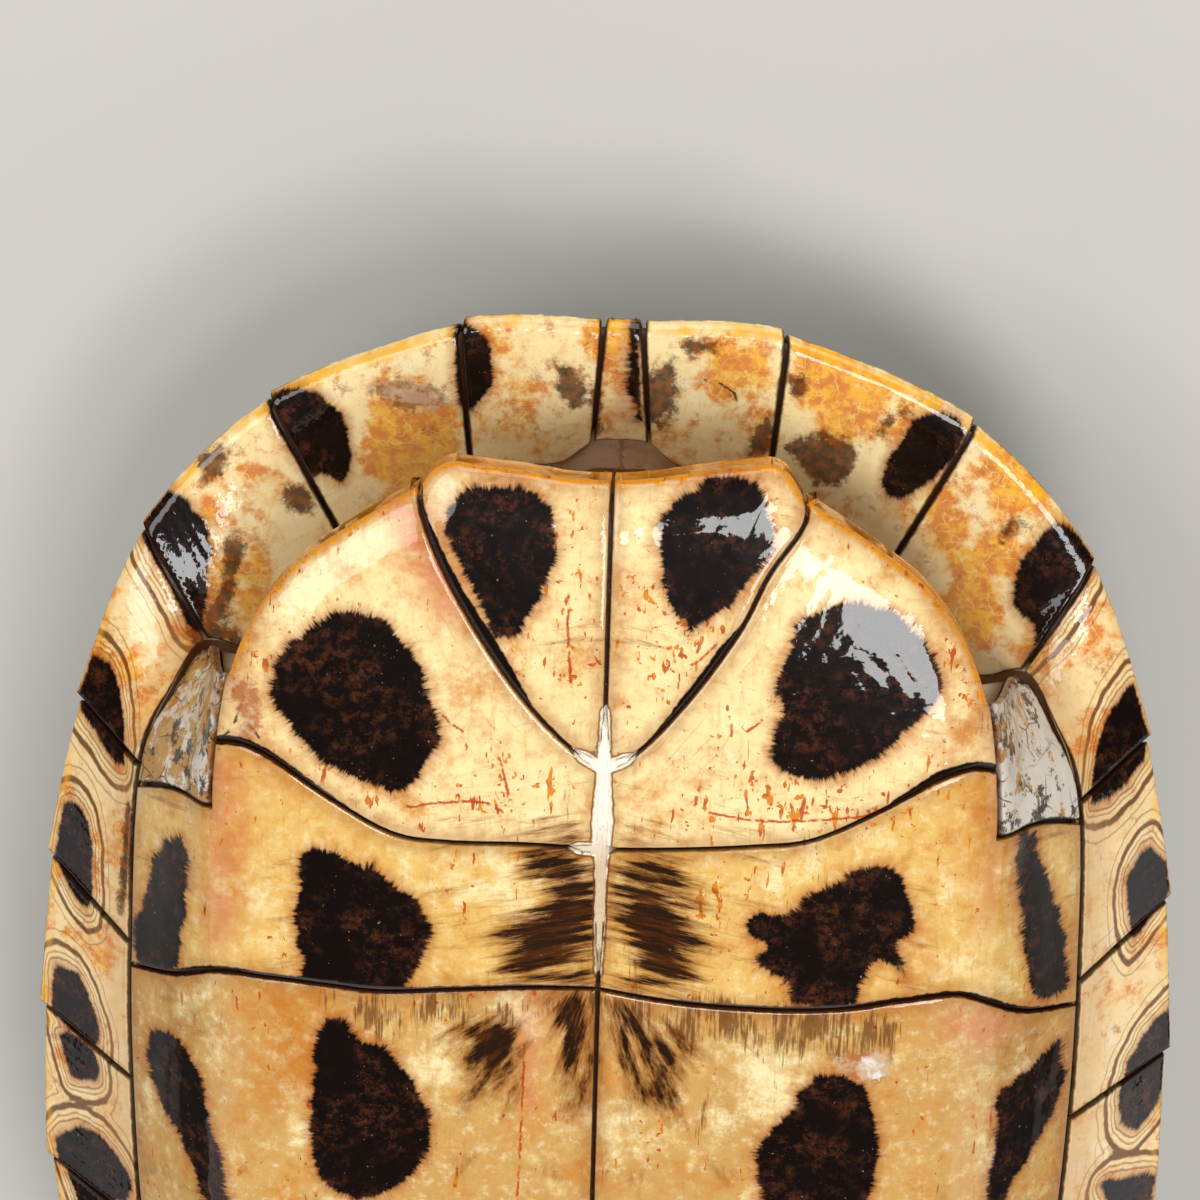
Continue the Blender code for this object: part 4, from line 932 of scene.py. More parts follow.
# %% Patches and scratches
BELLY_PATCHES = {
    "smoke": [
        [(519, 850), (592, 850), (592, 975), (500, 972), (507, 920), (545, 895)],
        [(608, 862), (678, 865), (700, 940), (702, 960), (690, 982), (608, 982)],
        [(461, 1028), (515, 1028), (515, 1090), (461, 1090)],
        [(544, 1002), (592, 1002), (592, 1108), (555, 1092)],
        [(608, 1006), (677, 1032), (676, 1106), (612, 1094)]],
    "hairs": [
        [(320, 994), (590, 994), (590, 1012), (450, 1036), (320, 1030)],
        [(608, 998), (880, 1008), (880, 1050), (740, 1062), (608, 1020)]],
    "rust": [
        [(558, 555), (582, 555), (582, 690), (556, 690)],
        [(487, 745), (522, 745), (522, 808), (487, 808)],
        [(620, 585), (672, 585), (720, 640), (665, 705), (625, 695)],
        [(682, 762), (708, 762), (708, 818), (682, 818)],
        [(418, 780), (500, 785), (560, 755), (548, 800), (480, 818), (418, 812)],
        [(285, 748), (340, 752), (375, 790), (330, 785)],
        [(712, 772), (870, 785), (925, 790), (860, 838), (715, 832)],
        [(945, 640), (985, 680), (990, 750), (930, 760)],
        [(240, 640), (280, 600), (268, 740), (238, 740)],
        [(620, 920), (760, 880), (740, 940), (700, 960)]],
    "warm": [
        [(240, 986), (325, 986), (322, 1095), (240, 1085)],
        [(203, 760), (245, 768), (240, 905), (205, 915)],
        [(955, 790), (1002, 785), (1014, 905), (965, 905)],
        [(445, 455), (790, 455), (800, 480), (440, 480)],
        [(405, 500), (455, 560), (480, 640), (430, 600), (398, 530)],
        [(225, 650), (270, 600), (262, 700), (300, 780), (240, 760)],
        [(935, 590), (985, 660), (995, 750), (950, 760), (930, 720)],
        [(868, 684), (945, 688), (926, 722), (880, 752), (842, 768), (852, 735)],
        [(880, 922), (926, 926), (924, 990), (884, 994)]],
    "blush": [
        [(390, 500), (412, 512), (434, 548), (462, 606), (450, 622), (426, 588), (402, 552), (388, 524)],
        [(216, 770), (240, 790), (238, 860), (225, 930), (210, 940), (208, 860)],
        [(930, 1020), (1000, 1012), (1020, 1030), (960, 1056)],
        [(520, 1000), (548, 1002), (540, 1060), (530, 1110), (516, 1060)]],
    "scab": [
        [(834, 1062), (850, 1053), (870, 1050), (888, 1052), (891, 1072), (876, 1084), (852, 1079), (837, 1072)],
        [(228, 688), (246, 676), (258, 692), (262, 722), (250, 742), (238, 736), (240, 712)]],
    "scar": [[(860, 1066), (867, 1057), (880, 1057), (887, 1066), (883, 1077), (870, 1080), (861, 1075)]],
}
RUST, CRACK = 0.0, 1.0
BELLY_SCRATCHES = {
    RUST: [
        [(489, 641), (497, 655), (510, 668), (529, 679)],
        [(722, 639), (706, 655), (688, 669)],
        [(728, 712), (731, 728), (731, 744)],
        [(766, 717), (754, 727), (742, 736)],
        [(438, 713), (452, 724), (466, 736)],
        [(498, 753), (503, 772), (511, 806)],
        [(706, 762), (700, 785), (693, 810)],
        [(569, 590), (568, 640), (572, 692)],
        [(402, 808), (440, 803), (484, 803), (508, 814)],
        [(704, 812), (760, 821), (850, 818), (880, 812)],
        [(524, 1040), (522, 1110), (517, 1200)],
        [(436, 558), (449, 584), (462, 610)]],
    CRACK: [
        [(246, 692), (240, 706), (234, 722), (223, 739), (217, 754)],
        [(234, 716), (246, 722), (262, 742)]],
}
RIM_SCRATCHES = {
    "right": [(CRACK, [(170, 536), (184, 546), (204, 560)])],
    "left": [(CRACK, [(699, 380), (718, 384), (732, 392), (739, 405)])],
}
RIM_PATCHES = {
    "right": {
        "brown": [
            [(228, 540), (245, 542), (236, 585), (216, 632), (200, 632), (214, 588)],
            [(281, 492), (300, 488), (315, 497), (309, 514), (288, 512)],
            [(186, 630), (235, 628), (238, 656), (190, 656)],
            [(555, 364), (585, 383), (582, 410), (564, 403), (556, 385)],
            [(196, 455), (222, 448), (228, 462), (212, 482), (196, 478)],
            [(589, 392), (601, 392), (599, 431), (590, 431)],
            [(128, 800), (136, 830), (130, 880), (122, 910), (116, 905), (122, 850)]],
        "amber": [
            [(242, 540), (269, 540), (262, 600), (240, 612)],
            [(365, 405), (445, 405), (440, 470), (360, 480)],
            [(603, 316), (618, 316), (618, 354), (606, 354)]],
        "scab": [[(366, 390), (384, 380), (412, 380), (438, 386), (453, 400), (438, 410), (412, 412), (388, 407)]],
        "scar": [[(384, 392), (402, 388), (424, 392), (442, 400), (422, 405), (398, 402)]],
    },
    "left": {
        "brown": [
            [(785, 448), (815, 436), (846, 440), (856, 462), (838, 484), (804, 480)],
            [(676, 357), (660, 366), (647, 376), (644, 403), (658, 429), (672, 415), (679, 392)],
            [(750, 456), (755, 430), (771, 415), (773, 440), (768, 456)],
            [(874, 441), (880, 425), (892, 415), (911, 410), (911, 416), (896, 421), (886, 430), (881, 443)],
            [(679, 341), (713, 345), (713, 354), (680, 355)],
            [(788, 376), (806, 380), (806, 396), (788, 394)],
            [(999, 541), (1003, 530), (1012, 522), (1028, 525), (1028, 531), (1014, 530), (1006, 543)],
            [(918, 978), (932, 973), (947, 978), (944, 995), (922, 993)],
            [(836, 1052), (864, 1048), (889, 1052), (888, 1062), (862, 1060), (838, 1066)]],
        "amber": [
            [(612, 316), (630, 316), (627, 354), (612, 354)],
            [(690, 350), (765, 340), (765, 380), (705, 385)],
            [(800, 360), (880, 375), (870, 430), (800, 420)],
            [(965, 450), (1030, 450), (1040, 510), (970, 520)],
            [(930, 540), (1000, 530), (1000, 620), (950, 610)]],
        "scab": [],
        "scar": [],
    },
}
print("kinds of patches:", sorted(set(BELLY_PATCHES) | set(RIM_PATCHES["left"])))

# %% [markdown]
# A pixel is carried onto the belly along its line of sight: take a height, see where the ray reaches it, look up
# the belly's height there, and repeat. On the wrapped rim it is easier to see where each point of the chart lands
# in the picture, and to take the nearest few.

# %% From the picture onto the shell
SIGHT_STEPS, NEAR_POINTS, PIXEL_SOFTNESS = 20, 4, 0.1


def belly_place(pixels):
    """Where picture pixels land on the belly, in millimetres of the plan."""
    slope = (np.array(pixels, float) - PICTURE / 2) / [PIXELS_PER_SLOPE, -PIXELS_PER_SLOPE]
    rays = slope @ CAMERA_AXES[:2] - CAMERA_AXES[2]
    start = CAMERA_PLACE / MM
    height = np.full(len(rays), SHELL_HEIGHT)
    for _ in range(SIGHT_STEPS):
        plan = start[:2] + rays[:, :2] * ((height - start[2]) / rays[:, 2])[:, None]
        height = table_height(plan)
    return plan


def rim_view(side):
    """Pixels and chart addresses of the half of the rim that faces the camera."""
    around = np.linspace(0, WRAP_LENGTH, CHART_POINTS.shape[1])
    chart = np.stack(np.broadcast_arrays(CHART_LENGTHS[:, None], around), axis=-1)
    mirror = np.array([side, 1, 1])
    points = (CHART_POINTS * mirror).reshape(-1, 3)
    faces_camera = np.sum((CHART_NORMALS * mirror).reshape(-1, 3) * (CAMERA_PLACE / MM - points), axis=1) > 0
    return seen_at(points[faces_camera]), chart.reshape(-1, 2)[faces_camera]


RIM_VIEWS = {word: rim_view(side) for word, side in SIDES.items()}


def rim_place(pixels, word):
    """Chart addresses of picture pixels, between the nearest points of the rim that the camera sees."""
    seen, chart = RIM_VIEWS[word]
    places = []
    for pixel in np.array(pixels, float):
        distance = np.linalg.norm(seen - pixel, axis=1)
        near = np.argsort(distance)[:NEAR_POINTS]
        weight = 1 / (distance[near] + PIXEL_SOFTNESS)
        places.append(weight @ chart[near] / weight.sum())
    return np.array(places)


print("gular blotch is at", belly_place(BLOTCHES["gular_right"][0]).mean(axis=0).round(1), "mm")

# %% [markdown]
# Seams on this shell are stained black where the horn was thickest, more on one side than the other. Each stain
# is a width that changes along its seam, from the start of the seam (0) to its end (1). A stain that names a
# scute without its side is on both.

# %% Stains along the seams
SEAM_STAINS = {
    "gular_humeral": {
        "gular_right": [(0, 0.3), (0.12, 0.8), (0.5, 1.5), (0.62, 1.2), (0.72, 0.4), (1, 0.2)],
        "gular_left": [(0, 0.25), (0.4, 0.3), (0.5, 1.0), (0.7, 0.9), (0.85, 0.3), (1, 0.2)],
        "humeral": [(0, 0.25), (1, 0.15)]},
    "humeral_pectoral": {
        "humeral_right": [(0, 0.1), (0.4, 0.2), (0.6, 0.35), (0.75, 0.7), (0.95, 0.9), (1, 0.6)],
        "humeral_left": [(0, 0.1), (0.4, 0.2), (0.7, 0.4), (0.85, 1.2), (1, 0.8)],
        "pectoral_right": [(0, 0.1), (0.5, 0.15), (0.8, 0.35), (1, 0.5)],
        "pectoral_left": [(0, 0.1), (0.5, 0.15), (0.8, 0.3), (1, 0.4)]},
    "pectoral_abdominal": {
        "pectoral_right": [(0, 0.25), (0.1, 0.45), (0.4, 0.7), (0.8, 0.75), (1, 0.5)],
        "pectoral_left": [(0, 0.25), (0.1, 0.45), (0.4, 0.7), (0.85, 0.6), (1, 0.4)],
        "abdominal": [(0, 0.2), (0.2, 0.35), (1, 0.35)]},
    "axillary_rim": {
        "axillary": [(0, 0.5), (1, 0.4)]},
    "axillary_back": {
        "axillary": [(0, 0.5), (1, 0.5)]},
}
FAR_CORNER = 40.0


def stain_width(name, points, seams, flip):
    """How far each point is inside a dark seam stain, negative outside."""
    stain = np.full(len(points), -FAR_CORNER)
    for seam, stains in SEAM_STAINS.items():
        for widths in (stains[piece] for piece in stains if name.startswith(piece)):
            distance, along, length = nearest_on(points, seams[seam] * flip)
            stain = np.maximum(stain, np.interp(along / length, *np.array(widths).T) - distance)
    return stain


print("stained seams:", list(SEAM_STAINS))

# %% [markdown]
# A material can't know an outline, so what it needs is measured here for each point: an address about the
# nearest blotch, the side and strength of the nearest scratch, and a share of each kind of patch. Only points
# close to a mark are measured, which is quick.

# %% Measure each point against the marks
NO_BLOTCH, BLOTCH_APART, FRINGE_REACH = -20.0, 70.0, 8.0
PATCH_SOFTNESS = {"smoke": 5.0, "hairs": 4.0, "rust": 4.0, "warm": 5.0, "brown": 2.0, "amber": 4.0,
                  "blush": 3.0, "scab": 1.6, "scar": 1.2}
SCRATCH_REACH, SCRATCH_TAPER, SCRATCH_STEP = 1.8, 1.2, 0.02
SCRATCH_STEPS, BLOTCH_STEPS, PATCH_STEPS = 6, 4, 3


def close_to(points, ring, reach):
    return np.all((points > ring.min(axis=0) - reach) & (points < ring.max(axis=0) + reach), axis=1)


def fringe_of(points, rings):
    """The address of each point about the blotch it is most inside of: a circle, and a depth."""
    found = np.zeros((len(points), 3)) + [0, 0, NO_BLOTCH]
    for number, ring in enumerate(rings):
        near = np.flatnonzero(close_to(points, ring, FRINGE_REACH))
        place = ring_place(points[near], ring)
        place[:, 0] += number * BLOTCH_APART
        deeper = place[:, 2] > found[near, 2]
        found[near[deeper]] = place[deeper]
    return found


def scratch_of(points, scratches):
    """The nearest fine line to each point: how far the point is to its side, its strength and its kind."""
    found = np.zeros((len(points), 3))
    for kind, line in scratches:
        near = np.flatnonzero(close_to(points, line, SCRATCH_REACH))
        distance, along, length = nearest_on(points[near], line)
        lengths, step = lengths_along(line), length * SCRATCH_STEP
        ahead, here = (np.column_stack([np.interp(place, lengths, line[:, i]) for i in (0, 1)])
                       for place in (along + step, along - step))
        way, off = ahead - here, points[near] - here
        side = np.sign(way[:, 0] * off[:, 1] - way[:, 1] * off[:, 0])
        strength = smooth_step((SCRATCH_REACH - distance) / SCRATCH_REACH * 2)
        strength *= smooth_step(along / SCRATCH_TAPER) * smooth_step((length - along) / SCRATCH_TAPER)
        new = np.column_stack([distance * side, strength, np.full(len(near), kind)])
        better = strength > found[near, 1]
        found[near[better]] = new[better]
    return found


def patch_shares(points, rings_by_kind):
    """How much of each kind of soft patch a point has, from 0 outside to 1 well inside."""
    shares = {kind: np.zeros(len(points)) for kind in rings_by_kind}
    for kind, rings in rings_by_kind.items():
        for ring in rings:
            near = np.flatnonzero(close_to(points, ring, PATCH_SOFTNESS[kind]))
            distance = ring_place(points[near], ring)[:, 2]
            share = smooth_step(distance / PATCH_SOFTNESS[kind] * 0.5 + 0.5)
            shares[kind][near] = np.maximum(shares[kind][near], share)
    return shares


BELLY_LINES = [(kind, belly_place(catmull_rom(line, SCRATCH_STEPS)))
               for kind, lines in BELLY_SCRATCHES.items() for line in lines]
BELLY_PATCH_RINGS = {kind: [belly_place(closed_curve(o, PATCH_STEPS)) for o in outlines]
                     for kind, outlines in BELLY_PATCHES.items()}
print("patches of each kind:", {kind: len(rings) for kind, rings in BELLY_PATCH_RINGS.items()})

# %% [markdown]
# Every piece is made the same way: a mesh from its points and triangles, faces turned outwards, and a number or
# a vector kept on each point for the materials. A shell this size has to stay inside its solids, so points that
# would bulge past them are held at their box.

# %% Make one piece
SHARP_ANGLE = 40
LOWEST, HIGHEST = (np.array(corner) / MM for corner in CAD_BOX)
PIECES = {}


def keep(mesh, name, values):
    """Keeps a number or a vector on every point of a mesh."""
    kind, key = ("FLOAT_VECTOR", "vector") if values.ndim == 2 else ("FLOAT", "value")
    mesh.attributes.new(name, kind, "POINT").data.foreach_set(key, values.astype(np.float32).ravel())


def add_piece(name, points, faces, **kept):
    """One named object from points in millimetres, with values kept on its points."""
    mesh = bpy.data.meshes.new(name)
    mesh.from_pydata((np.clip(points, LOWEST, HIGHEST) * MM).tolist(), [], faces.tolist())
    edit = bmesh.new()
    edit.from_mesh(mesh)
    bmesh.ops.recalc_face_normals(edit, faces=edit.faces)
    if edit.calc_volume(signed=True) < 0:
        bmesh.ops.reverse_faces(edit, faces=edit.faces)
    edit.to_mesh(mesh)
    edit.free()
    for key, values in kept.items():
        keep(mesh, key, values)
    mesh.shade_smooth()
    mesh.set_sharp_from_angle(angle=math.radians(SHARP_ANGLE))
    PIECES[name] = add_object(name, mesh)
    return PIECES[name]


def triangles_made():
    return sum(len(p.data.polygons) for p in PIECES.values())


print("pieces are held between", LOWEST.round(1), "and", HIGHEST.round(1))

# %% [markdown]
# The sixteen belly scutes are cut from one surface. On the real animal they are about as thick as a fingernail
# and lie on bone, and along the lobes' free edges they turn down over it. A fine mesh is worth its cost here,
# because this is the side that is looked at.

# %% Belly scutes
BELLY_SPACING = 0.6
SEAM_SPACING = 0.6
LOOSE_REACH = 0.25
WISP_SLOPE, FAN_CENTRE_Y, FAN_REACH = 0.22, 27.0, 9.0
SIDE_EDGES = {word: belly_seams(word, SEAM_SPACING) for word in SIDES}


def sweep_of(scute, plan):
    """Across and along the way the smoky wisps run: nearly level on the pectorals, and fanning out of the
    midline corner of the abdominals."""
    out, up = np.abs(plan[:, 0]), plan[:, 1]
    if scute == "abdominal":
        turn = np.arctan2(out + 1, FAN_CENTRE_Y - up)
        return np.column_stack([turn * FAN_REACH, np.hypot(out, FAN_CENTRE_Y - up), 0 * up])
    return np.column_stack([up + WISP_SLOPE * out, out, 0 * up])


def free_edge_share(plan):
    """1 close to a free edge of the lobes, 0 away from it."""
    near = np.min([nearest_on(plan, SIDE_EDGES[word][name] * [side, 1])[0]
                   for word, side in SIDES.items() for name in FREE_EDGES], axis=0)
    return smooth_step((FREE_EDGE_RADIUS + LOOSE_REACH - near) / LOOSE_REACH)


def add_belly_scute(scute, word):
    name, side = f"{scute}_{word}", SIDES[word]
    ring = joined(SIDE_EDGES[word], BELLY_SCUTES[scute]) * [side, 1]
    ring = pulled_in(ring, half_gap(ring))
    points, faces, chart, kept = plate(ring, BELLY_SPACING, belly_skin, free_edge_share, opened)
    blotches = [belly_place(closed_curve(o, BLOTCH_STEPS)) for o in BLOTCHES.get(name, [])]
    blotches += [closed_curve(o) * [side, 1] for o in HIDDEN_BLOTCHES.get(scute, [])]
    return add_piece(name, points, faces, **kept, fringe=fringe_of(chart, blotches),
                     free=free_edge_share(chart), sweep=sweep_of(scute, chart), bare=bare_depth(chart),
                     scratch=scratch_of(chart, BELLY_LINES),
                     stain=stain_width(name, chart, SIDE_EDGES[word], [side, 1]),
                     **patch_shares(chart, BELLY_PATCH_RINGS))


for scute in BELLY_SCUTES:
    for word in SIDES:
        add_belly_scute(scute, word)
print("belly:", triangles_made(), "triangles in", len(PIECES), "scutes")

# %% [markdown]
# Twenty-four marginal scutes and the small nuchal over the neck go round the rim. They are rectangles on the
# rim's chart. Each one's back corner stands out a little past the next, which gives the rim its saw teeth
# towards the tail. Eye-like rings sit on the seams between them, and those that the photograph doesn't show
# repeat the ones it does.

# %% Rim scutes
RIM_SPACING, RIM_SEAM_GAP = 0.7, 0.6
FIRST_RINGED = 4
MARK_MARGIN, SIDE_APART = 5, 20
FIRST_HIDDEN, EYE_HALF_LENGTH, EYE_HALF_WIDTH, EYE_PLACE, EYE_SHIFT, EYE_POINTS = 8, 4.6, 4.2, 24.5, 2, 24


def rim_rings(outlines, word):
    return [rim_place(closed_curve(o, PATCH_STEPS), word) for o in outlines]


RIM_BLOTCH_RINGS = {word: rim_rings(RIM_BLOTCHES[word], word) for word in SIDES}
for word in SIDES:
    turn = np.linspace(0, 2 * math.pi, EYE_POINTS, endpoint=False)
    for number in range(FIRST_HIDDEN, LAST_STATION):
        middle = along_rim(number + 1) - EYE_SHIFT
        RIM_BLOTCH_RINGS[word].append(np.column_stack([
            middle + EYE_HALF_LENGTH * np.cos(turn), EYE_PLACE + EYE_HALF_WIDTH * np.sin(turn)]))
RIM_PATCH_RINGS = {word: {kind: rim_rings(outlines, word) for kind, outlines in RIM_PATCHES[word].items()}
                   for word in SIDES}
RIM_LINES = {word: [(kind, rim_place(catmull_rom(line, SCRATCH_STEPS), word))
                    for kind, line in RIM_SCRATCHES[word]] for word in SIDES}
NUCHAL_RINGS = [ring * [SIDES[word], 1] for word in SIDES for ring in rim_rings(NUCHAL_BLOTCHES[word], word)]
NUCHAL_PATCHES = {kind: [ring * [SIDES[word], 1] for word in SIDES for ring in RIM_PATCH_RINGS[word][kind]]
                  for kind in RIM_PATCH_RINGS["left"]}


def rectangle(low, high, spacing):
    corners = np.array([low, (high[0], low[1]), high, (low[0], high[1])], float)
    sides = zip(corners, np.roll(corners, -1, axis=0))
    return np.vstack([spaced(np.array(side), spacing)[:-1] for side in sides])


def add_rim_scute(name, low, high, number, word):
    """A rim scute between two lengths along the rim, with the marks of its side, or of both."""
    ring = rectangle((low, SEAM_GAP / 2), (high, WRAP_LENGTH - SEAM_GAP / 2), SEAM_SPACING)
    points, faces, chart, kept = plate(ring, RIM_SPACING, lambda c: rim_skin(c, number or None))
    mirror = SIDES[word] if word else 1
    rings = RIM_BLOTCH_RINGS[word] if word else NUCHAL_RINGS
    near = [r for r in rings if r[:, 0].max() > low - MARK_MARGIN and r[:, 0].min() < high + MARK_MARGIN]
    kept_chart = np.column_stack([chart, np.full(len(chart), float(number) + SIDE_APART * mirror)])
    return add_piece(name, points * [mirror, 1, 1], faces, **kept, chart=kept_chart, fringe=fringe_of(chart, near),
                     ringed=np.full(len(chart), float(number >= FIRST_RINGED)),
                     scratch=scratch_of(chart, RIM_LINES[word] if word else []),
                     **patch_shares(chart, RIM_PATCH_RINGS[word] if word else NUCHAL_PATCHES))


half = RIM_SEAM_GAP / 2
add_rim_scute("nuchal", -along_rim(1) + half, along_rim(1) - half, 0, None)
for number in range(1, LAST_STATION):
    for word in SIDES:
        low, high = along_rim(number) + half, along_rim(number + 1) - half
        add_rim_scute(f"marginal_{number:02d}_{word}", low, high, number, word)
print("rim scutes made; triangles so far:", triangles_made())

# %% [markdown]
# The thirteen scutes of the dome lie underneath in this pose, and the sides and back views show them. They carry
# the strongest growth rings, because this is the side that wore least.

# %% Dome scutes
DOME_SPACING = 1.0


def add_dome_scute(name, ring):
    ring = pulled_in(ring, np.full(len(ring), SEAM_GAP / 2))
    points, faces, _, kept = plate(ring, DOME_SPACING, dome_skin)
    return add_piece(name, points, faces, **kept)


for number, span in enumerate(VERTEBRAL_SPANS, 1):
    add_dome_scute(f"vertebral_{number}", vertebral_ring(*span, SEAM_SPACING))
for number, ring in enumerate(costal_rings(SEAM_SPACING), 1):
    for word, side in SIDES.items():
        add_dome_scute(f"costal_{number}_{word}", ring * [side, 1])
print("dome scutes made; triangles so far:", triangles_made())

# %% [markdown]
# Under the horn are two plates of bone. The carapace's bone is one continuous shell: the dome, the rim folded
# back under itself, a shelf inside the rim at the head and tail, and a low ridge inside where the backbone is
# joined on. It is swept as rings that leave the dome's edge, run out round the rim and come back inside.

# %% The carapace's bone
BONE_SPACING, BONE_THICKNESS, SCUTE_BED = 1.6, 3.0, 0.4
BONE_DEPTH = SCUTE_THICKNESS + SCUTE_BED
BONE_STATION_DIVISIONS, BONE_WRAP_STEPS, SHELF_STEPS, HOLLOW_STEPS = 12, 22, 4, 8
SPINE_RIDGE_HEIGHT, SPINE_RIDGE_HALF_WIDTH, SPINE_RIDGE_END, SPINE_RIDGE_TAPER = 3.0, 5.5, 74.0, 10.0
LIP_REACH, SHELF_FRONT, SHELF_BACK, SHELF_TAPER = 5.0, 3.8, 10.0, 0.8
HOLLOW_STATIONS, HOLLOW_TAPERS, HOLLOW_DEPTH = (3.6, 10.2), (1.6, 1.4), 6.0


def spine_ridge(points):
    """How much thicker the carapace is along the midline."""
    across = smooth_step(1 - np.abs(points[:, 0]) / SPINE_RIDGE_HALF_WIDTH)
    along = np.clip((SPINE_RIDGE_END - np.abs(points[:, 1])) / SPINE_RIDGE_TAPER, 0, 1)
    return SPINE_RIDGE_HEIGHT * across * along


def strip(first, second):
    """Triangles between two closed rings of the same number of points."""
    a, b = np.array(first), np.array(second)
    c, d = np.roll(b, -1), np.roll(a, -1)
    return np.vstack([np.column_stack([a, d, c]), np.column_stack([a, c, b])])


def carapace_rings(values):
    """Rings of the bone from the dome's outer edge round the rim to where the dome's inside starts."""
    rows = values * STATION_DIVISIONS
    rings = []
    for share in np.linspace(0, 1, BONE_WRAP_STEPS + 1)[1:]:
        column = np.full(len(values), share * 2 * WRAP_SIDE_STEPS)
        skin, normals = bilinear(CHART_POINTS, rows, column), unit(bilinear(CHART_NORMALS, rows, column))
        rings.append(skin - normals * BONE_DEPTH)
    outward = bilinear(np.stack([CHART_OUTWARD] * 2, axis=1), rows, np.zeros(len(rows)))
    shelf = np.clip((SHELF_FRONT - values) / SHELF_TAPER, 0, 1)
    shelf += np.clip((values - SHELF_BACK) / SHELF_TAPER, 0, 1)
    lip = rings[-1] - normals * (BONE_THICKNESS * (1 - 0.5 * shelf))[:, None]
    lip -= unit(outward * [1, 1, 0]) * (LIP_REACH * shelf)[:, None]
    rings += [rings[-1] + (lip - rings[-1]) * t for t in np.linspace(0, 1, SHELF_STEPS + 1)[1:]]
    return rings, lip, outward


def carapace_bone():
    """Points, triangles, and which points lie under horn."""
    half = np.linspace(0, LAST_STATION, LAST_STATION * BONE_STATION_DIVISIONS + 1)
    values = np.concatenate([half, half[-2:0:-1]])
    mirror = np.array([(1, 1, 1)] * len(half) + [(-1, 1, 1)] * (len(half) - 2))
    outline = station_points(SEAM_LINE, values)[:, :2] * mirror[:, :2]
    plan, faces = filled(outline, (), BONE_SPACING)
    edge = np.array([int(np.argmin(np.hypot(*(plan - p).T))) for p in outline])
    skin, normals = dome_skin(plan)
    outer = skin - normals * BONE_DEPTH
    inner = outer - normals * (BONE_THICKNESS + spine_ridge(plan))[:, None]

    rings, lip, outward = carapace_rings(values)
    start = inner[edge] * mirror
    hollow = np.clip((values - HOLLOW_STATIONS[0]) / HOLLOW_TAPERS[0], 0, 1)
    hollow *= np.clip((HOLLOW_STATIONS[1] - values) / HOLLOW_TAPERS[1], 0, 1)
    for share in np.linspace(0, 1, HOLLOW_STEPS + 1)[1:-1]:
        bulge = outward * (HOLLOW_DEPTH * smooth_step(hollow) * 4 * share * (1 - share))[:, None]
        rings.append(lip + (start - lip) * share + bulge)
    count, size = len(plan), len(values)
    sides, previous = [faces, faces[:, ::-1] + count], edge
    for number in range(len(rings)):
        ids = 2 * count + number * size + np.arange(size)
        sides.append(strip(previous, ids))
        previous = ids
    sides.append(strip(previous, edge + count))
    points = np.vstack([outer, inner, *(ring * mirror for ring in rings)])
    covered = np.zeros(len(points))
    covered[:count] = 1
    covered[2 * count:2 * count + (BONE_WRAP_STEPS - 1) * size] = 1
    return points, np.vstack(sides), covered


*CARAPACE_BONE, CARAPACE_COVERED = carapace_bone()
print("carapace bone:", len(CARAPACE_BONE[1]), "triangles")

# %% [markdown]
# Geometry Nodes and materials are both trees of nodes, and wiring them takes many lines. This helper adds a node,
# sets its inputs from numbers or other nodes' outputs, and returns its output, so that a tree reads like a
# formula. Its second part makes a tree for Geometry Nodes with named inputs.

# %% A helper for node trees
class NodeMaker:
    """Adds nodes to a tree: each call sets a node's inputs and returns one of its outputs."""

    def __init__(self, tree):
        self.tree = tree

    def put(self, socket, value):
        if isinstance(value, bpy.types.NodeSocket):
            self.tree.links.new(value, socket)
        else:
            socket.default_value = value

    def node(self, kind, inputs, output=0, **settings):
        made = self.tree.nodes.new(kind)
        for key, value in settings.items():
            setattr(made, key, value)
        for key, value in inputs.items():
            self.put(made.inputs[key], value)
        return made.outputs[output]

    def math(self, operation, a, b=0.0):
        return self.node("ShaderNodeMath", {0: a, 1: b}, operation=operation)

    def share(self, *factors):
        """The product of some shares."""
        result = factors[0]
        for factor in factors[1:]:
            result = self.math("MULTIPLY", result, factor)
        return result

    def rest(self, share):
        return self.math("SUBTRACT", 1.0, share)

    def plus(self, value, more, times=1.0):
        """A value plus so many times another."""
        return self.math("ADD", value, self.math("MULTIPLY", more, times))

    def spread(self, value, amount, noise):
        """A value moved up and down by a noise."""
        return self.plus(value, self.math("SUBTRACT", noise, 0.5), amount)


class GeometryTree(NodeMaker):
    """A Geometry Nodes tree with named inputs, that ends in Realize Instances and Set Material."""

    def __init__(self, name, inputs):
        super().__init__(bpy.data.node_groups.new(name, "GeometryNodeTree"))
        self.tree.is_modifier = True
        for label, kind in {"Geometry": "Geometry", **inputs}.items():
            self.tree.interface.new_socket(label, in_out="INPUT", socket_type="NodeSocket" + kind)
        self.tree.interface.new_socket("Geometry", in_out="OUTPUT", socket_type="NodeSocketGeometry")
        self.given = self.tree.nodes.new("NodeGroupInput").outputs

    def end(self, geometry):
        real = self.node("GeometryNodeRealizeInstances", {0: geometry})
        finished = self.node("GeometryNodeSetMaterial", {"Geometry": real, "Material": self.given["Material"]})
        out = self.tree.nodes.new("NodeGroupOutput")
        self.tree.links.new(finished, out.inputs[0])

    def use_on(self, piece, values):
        modifier = piece.modifiers.new(self.tree.name, "NODES")
        modifier.node_group = self.tree
        for item in self.tree.interface.items_tree:
            if item.in_out == "INPUT" and item.name in values:
                modifier[item.identifier] = values[item.name]


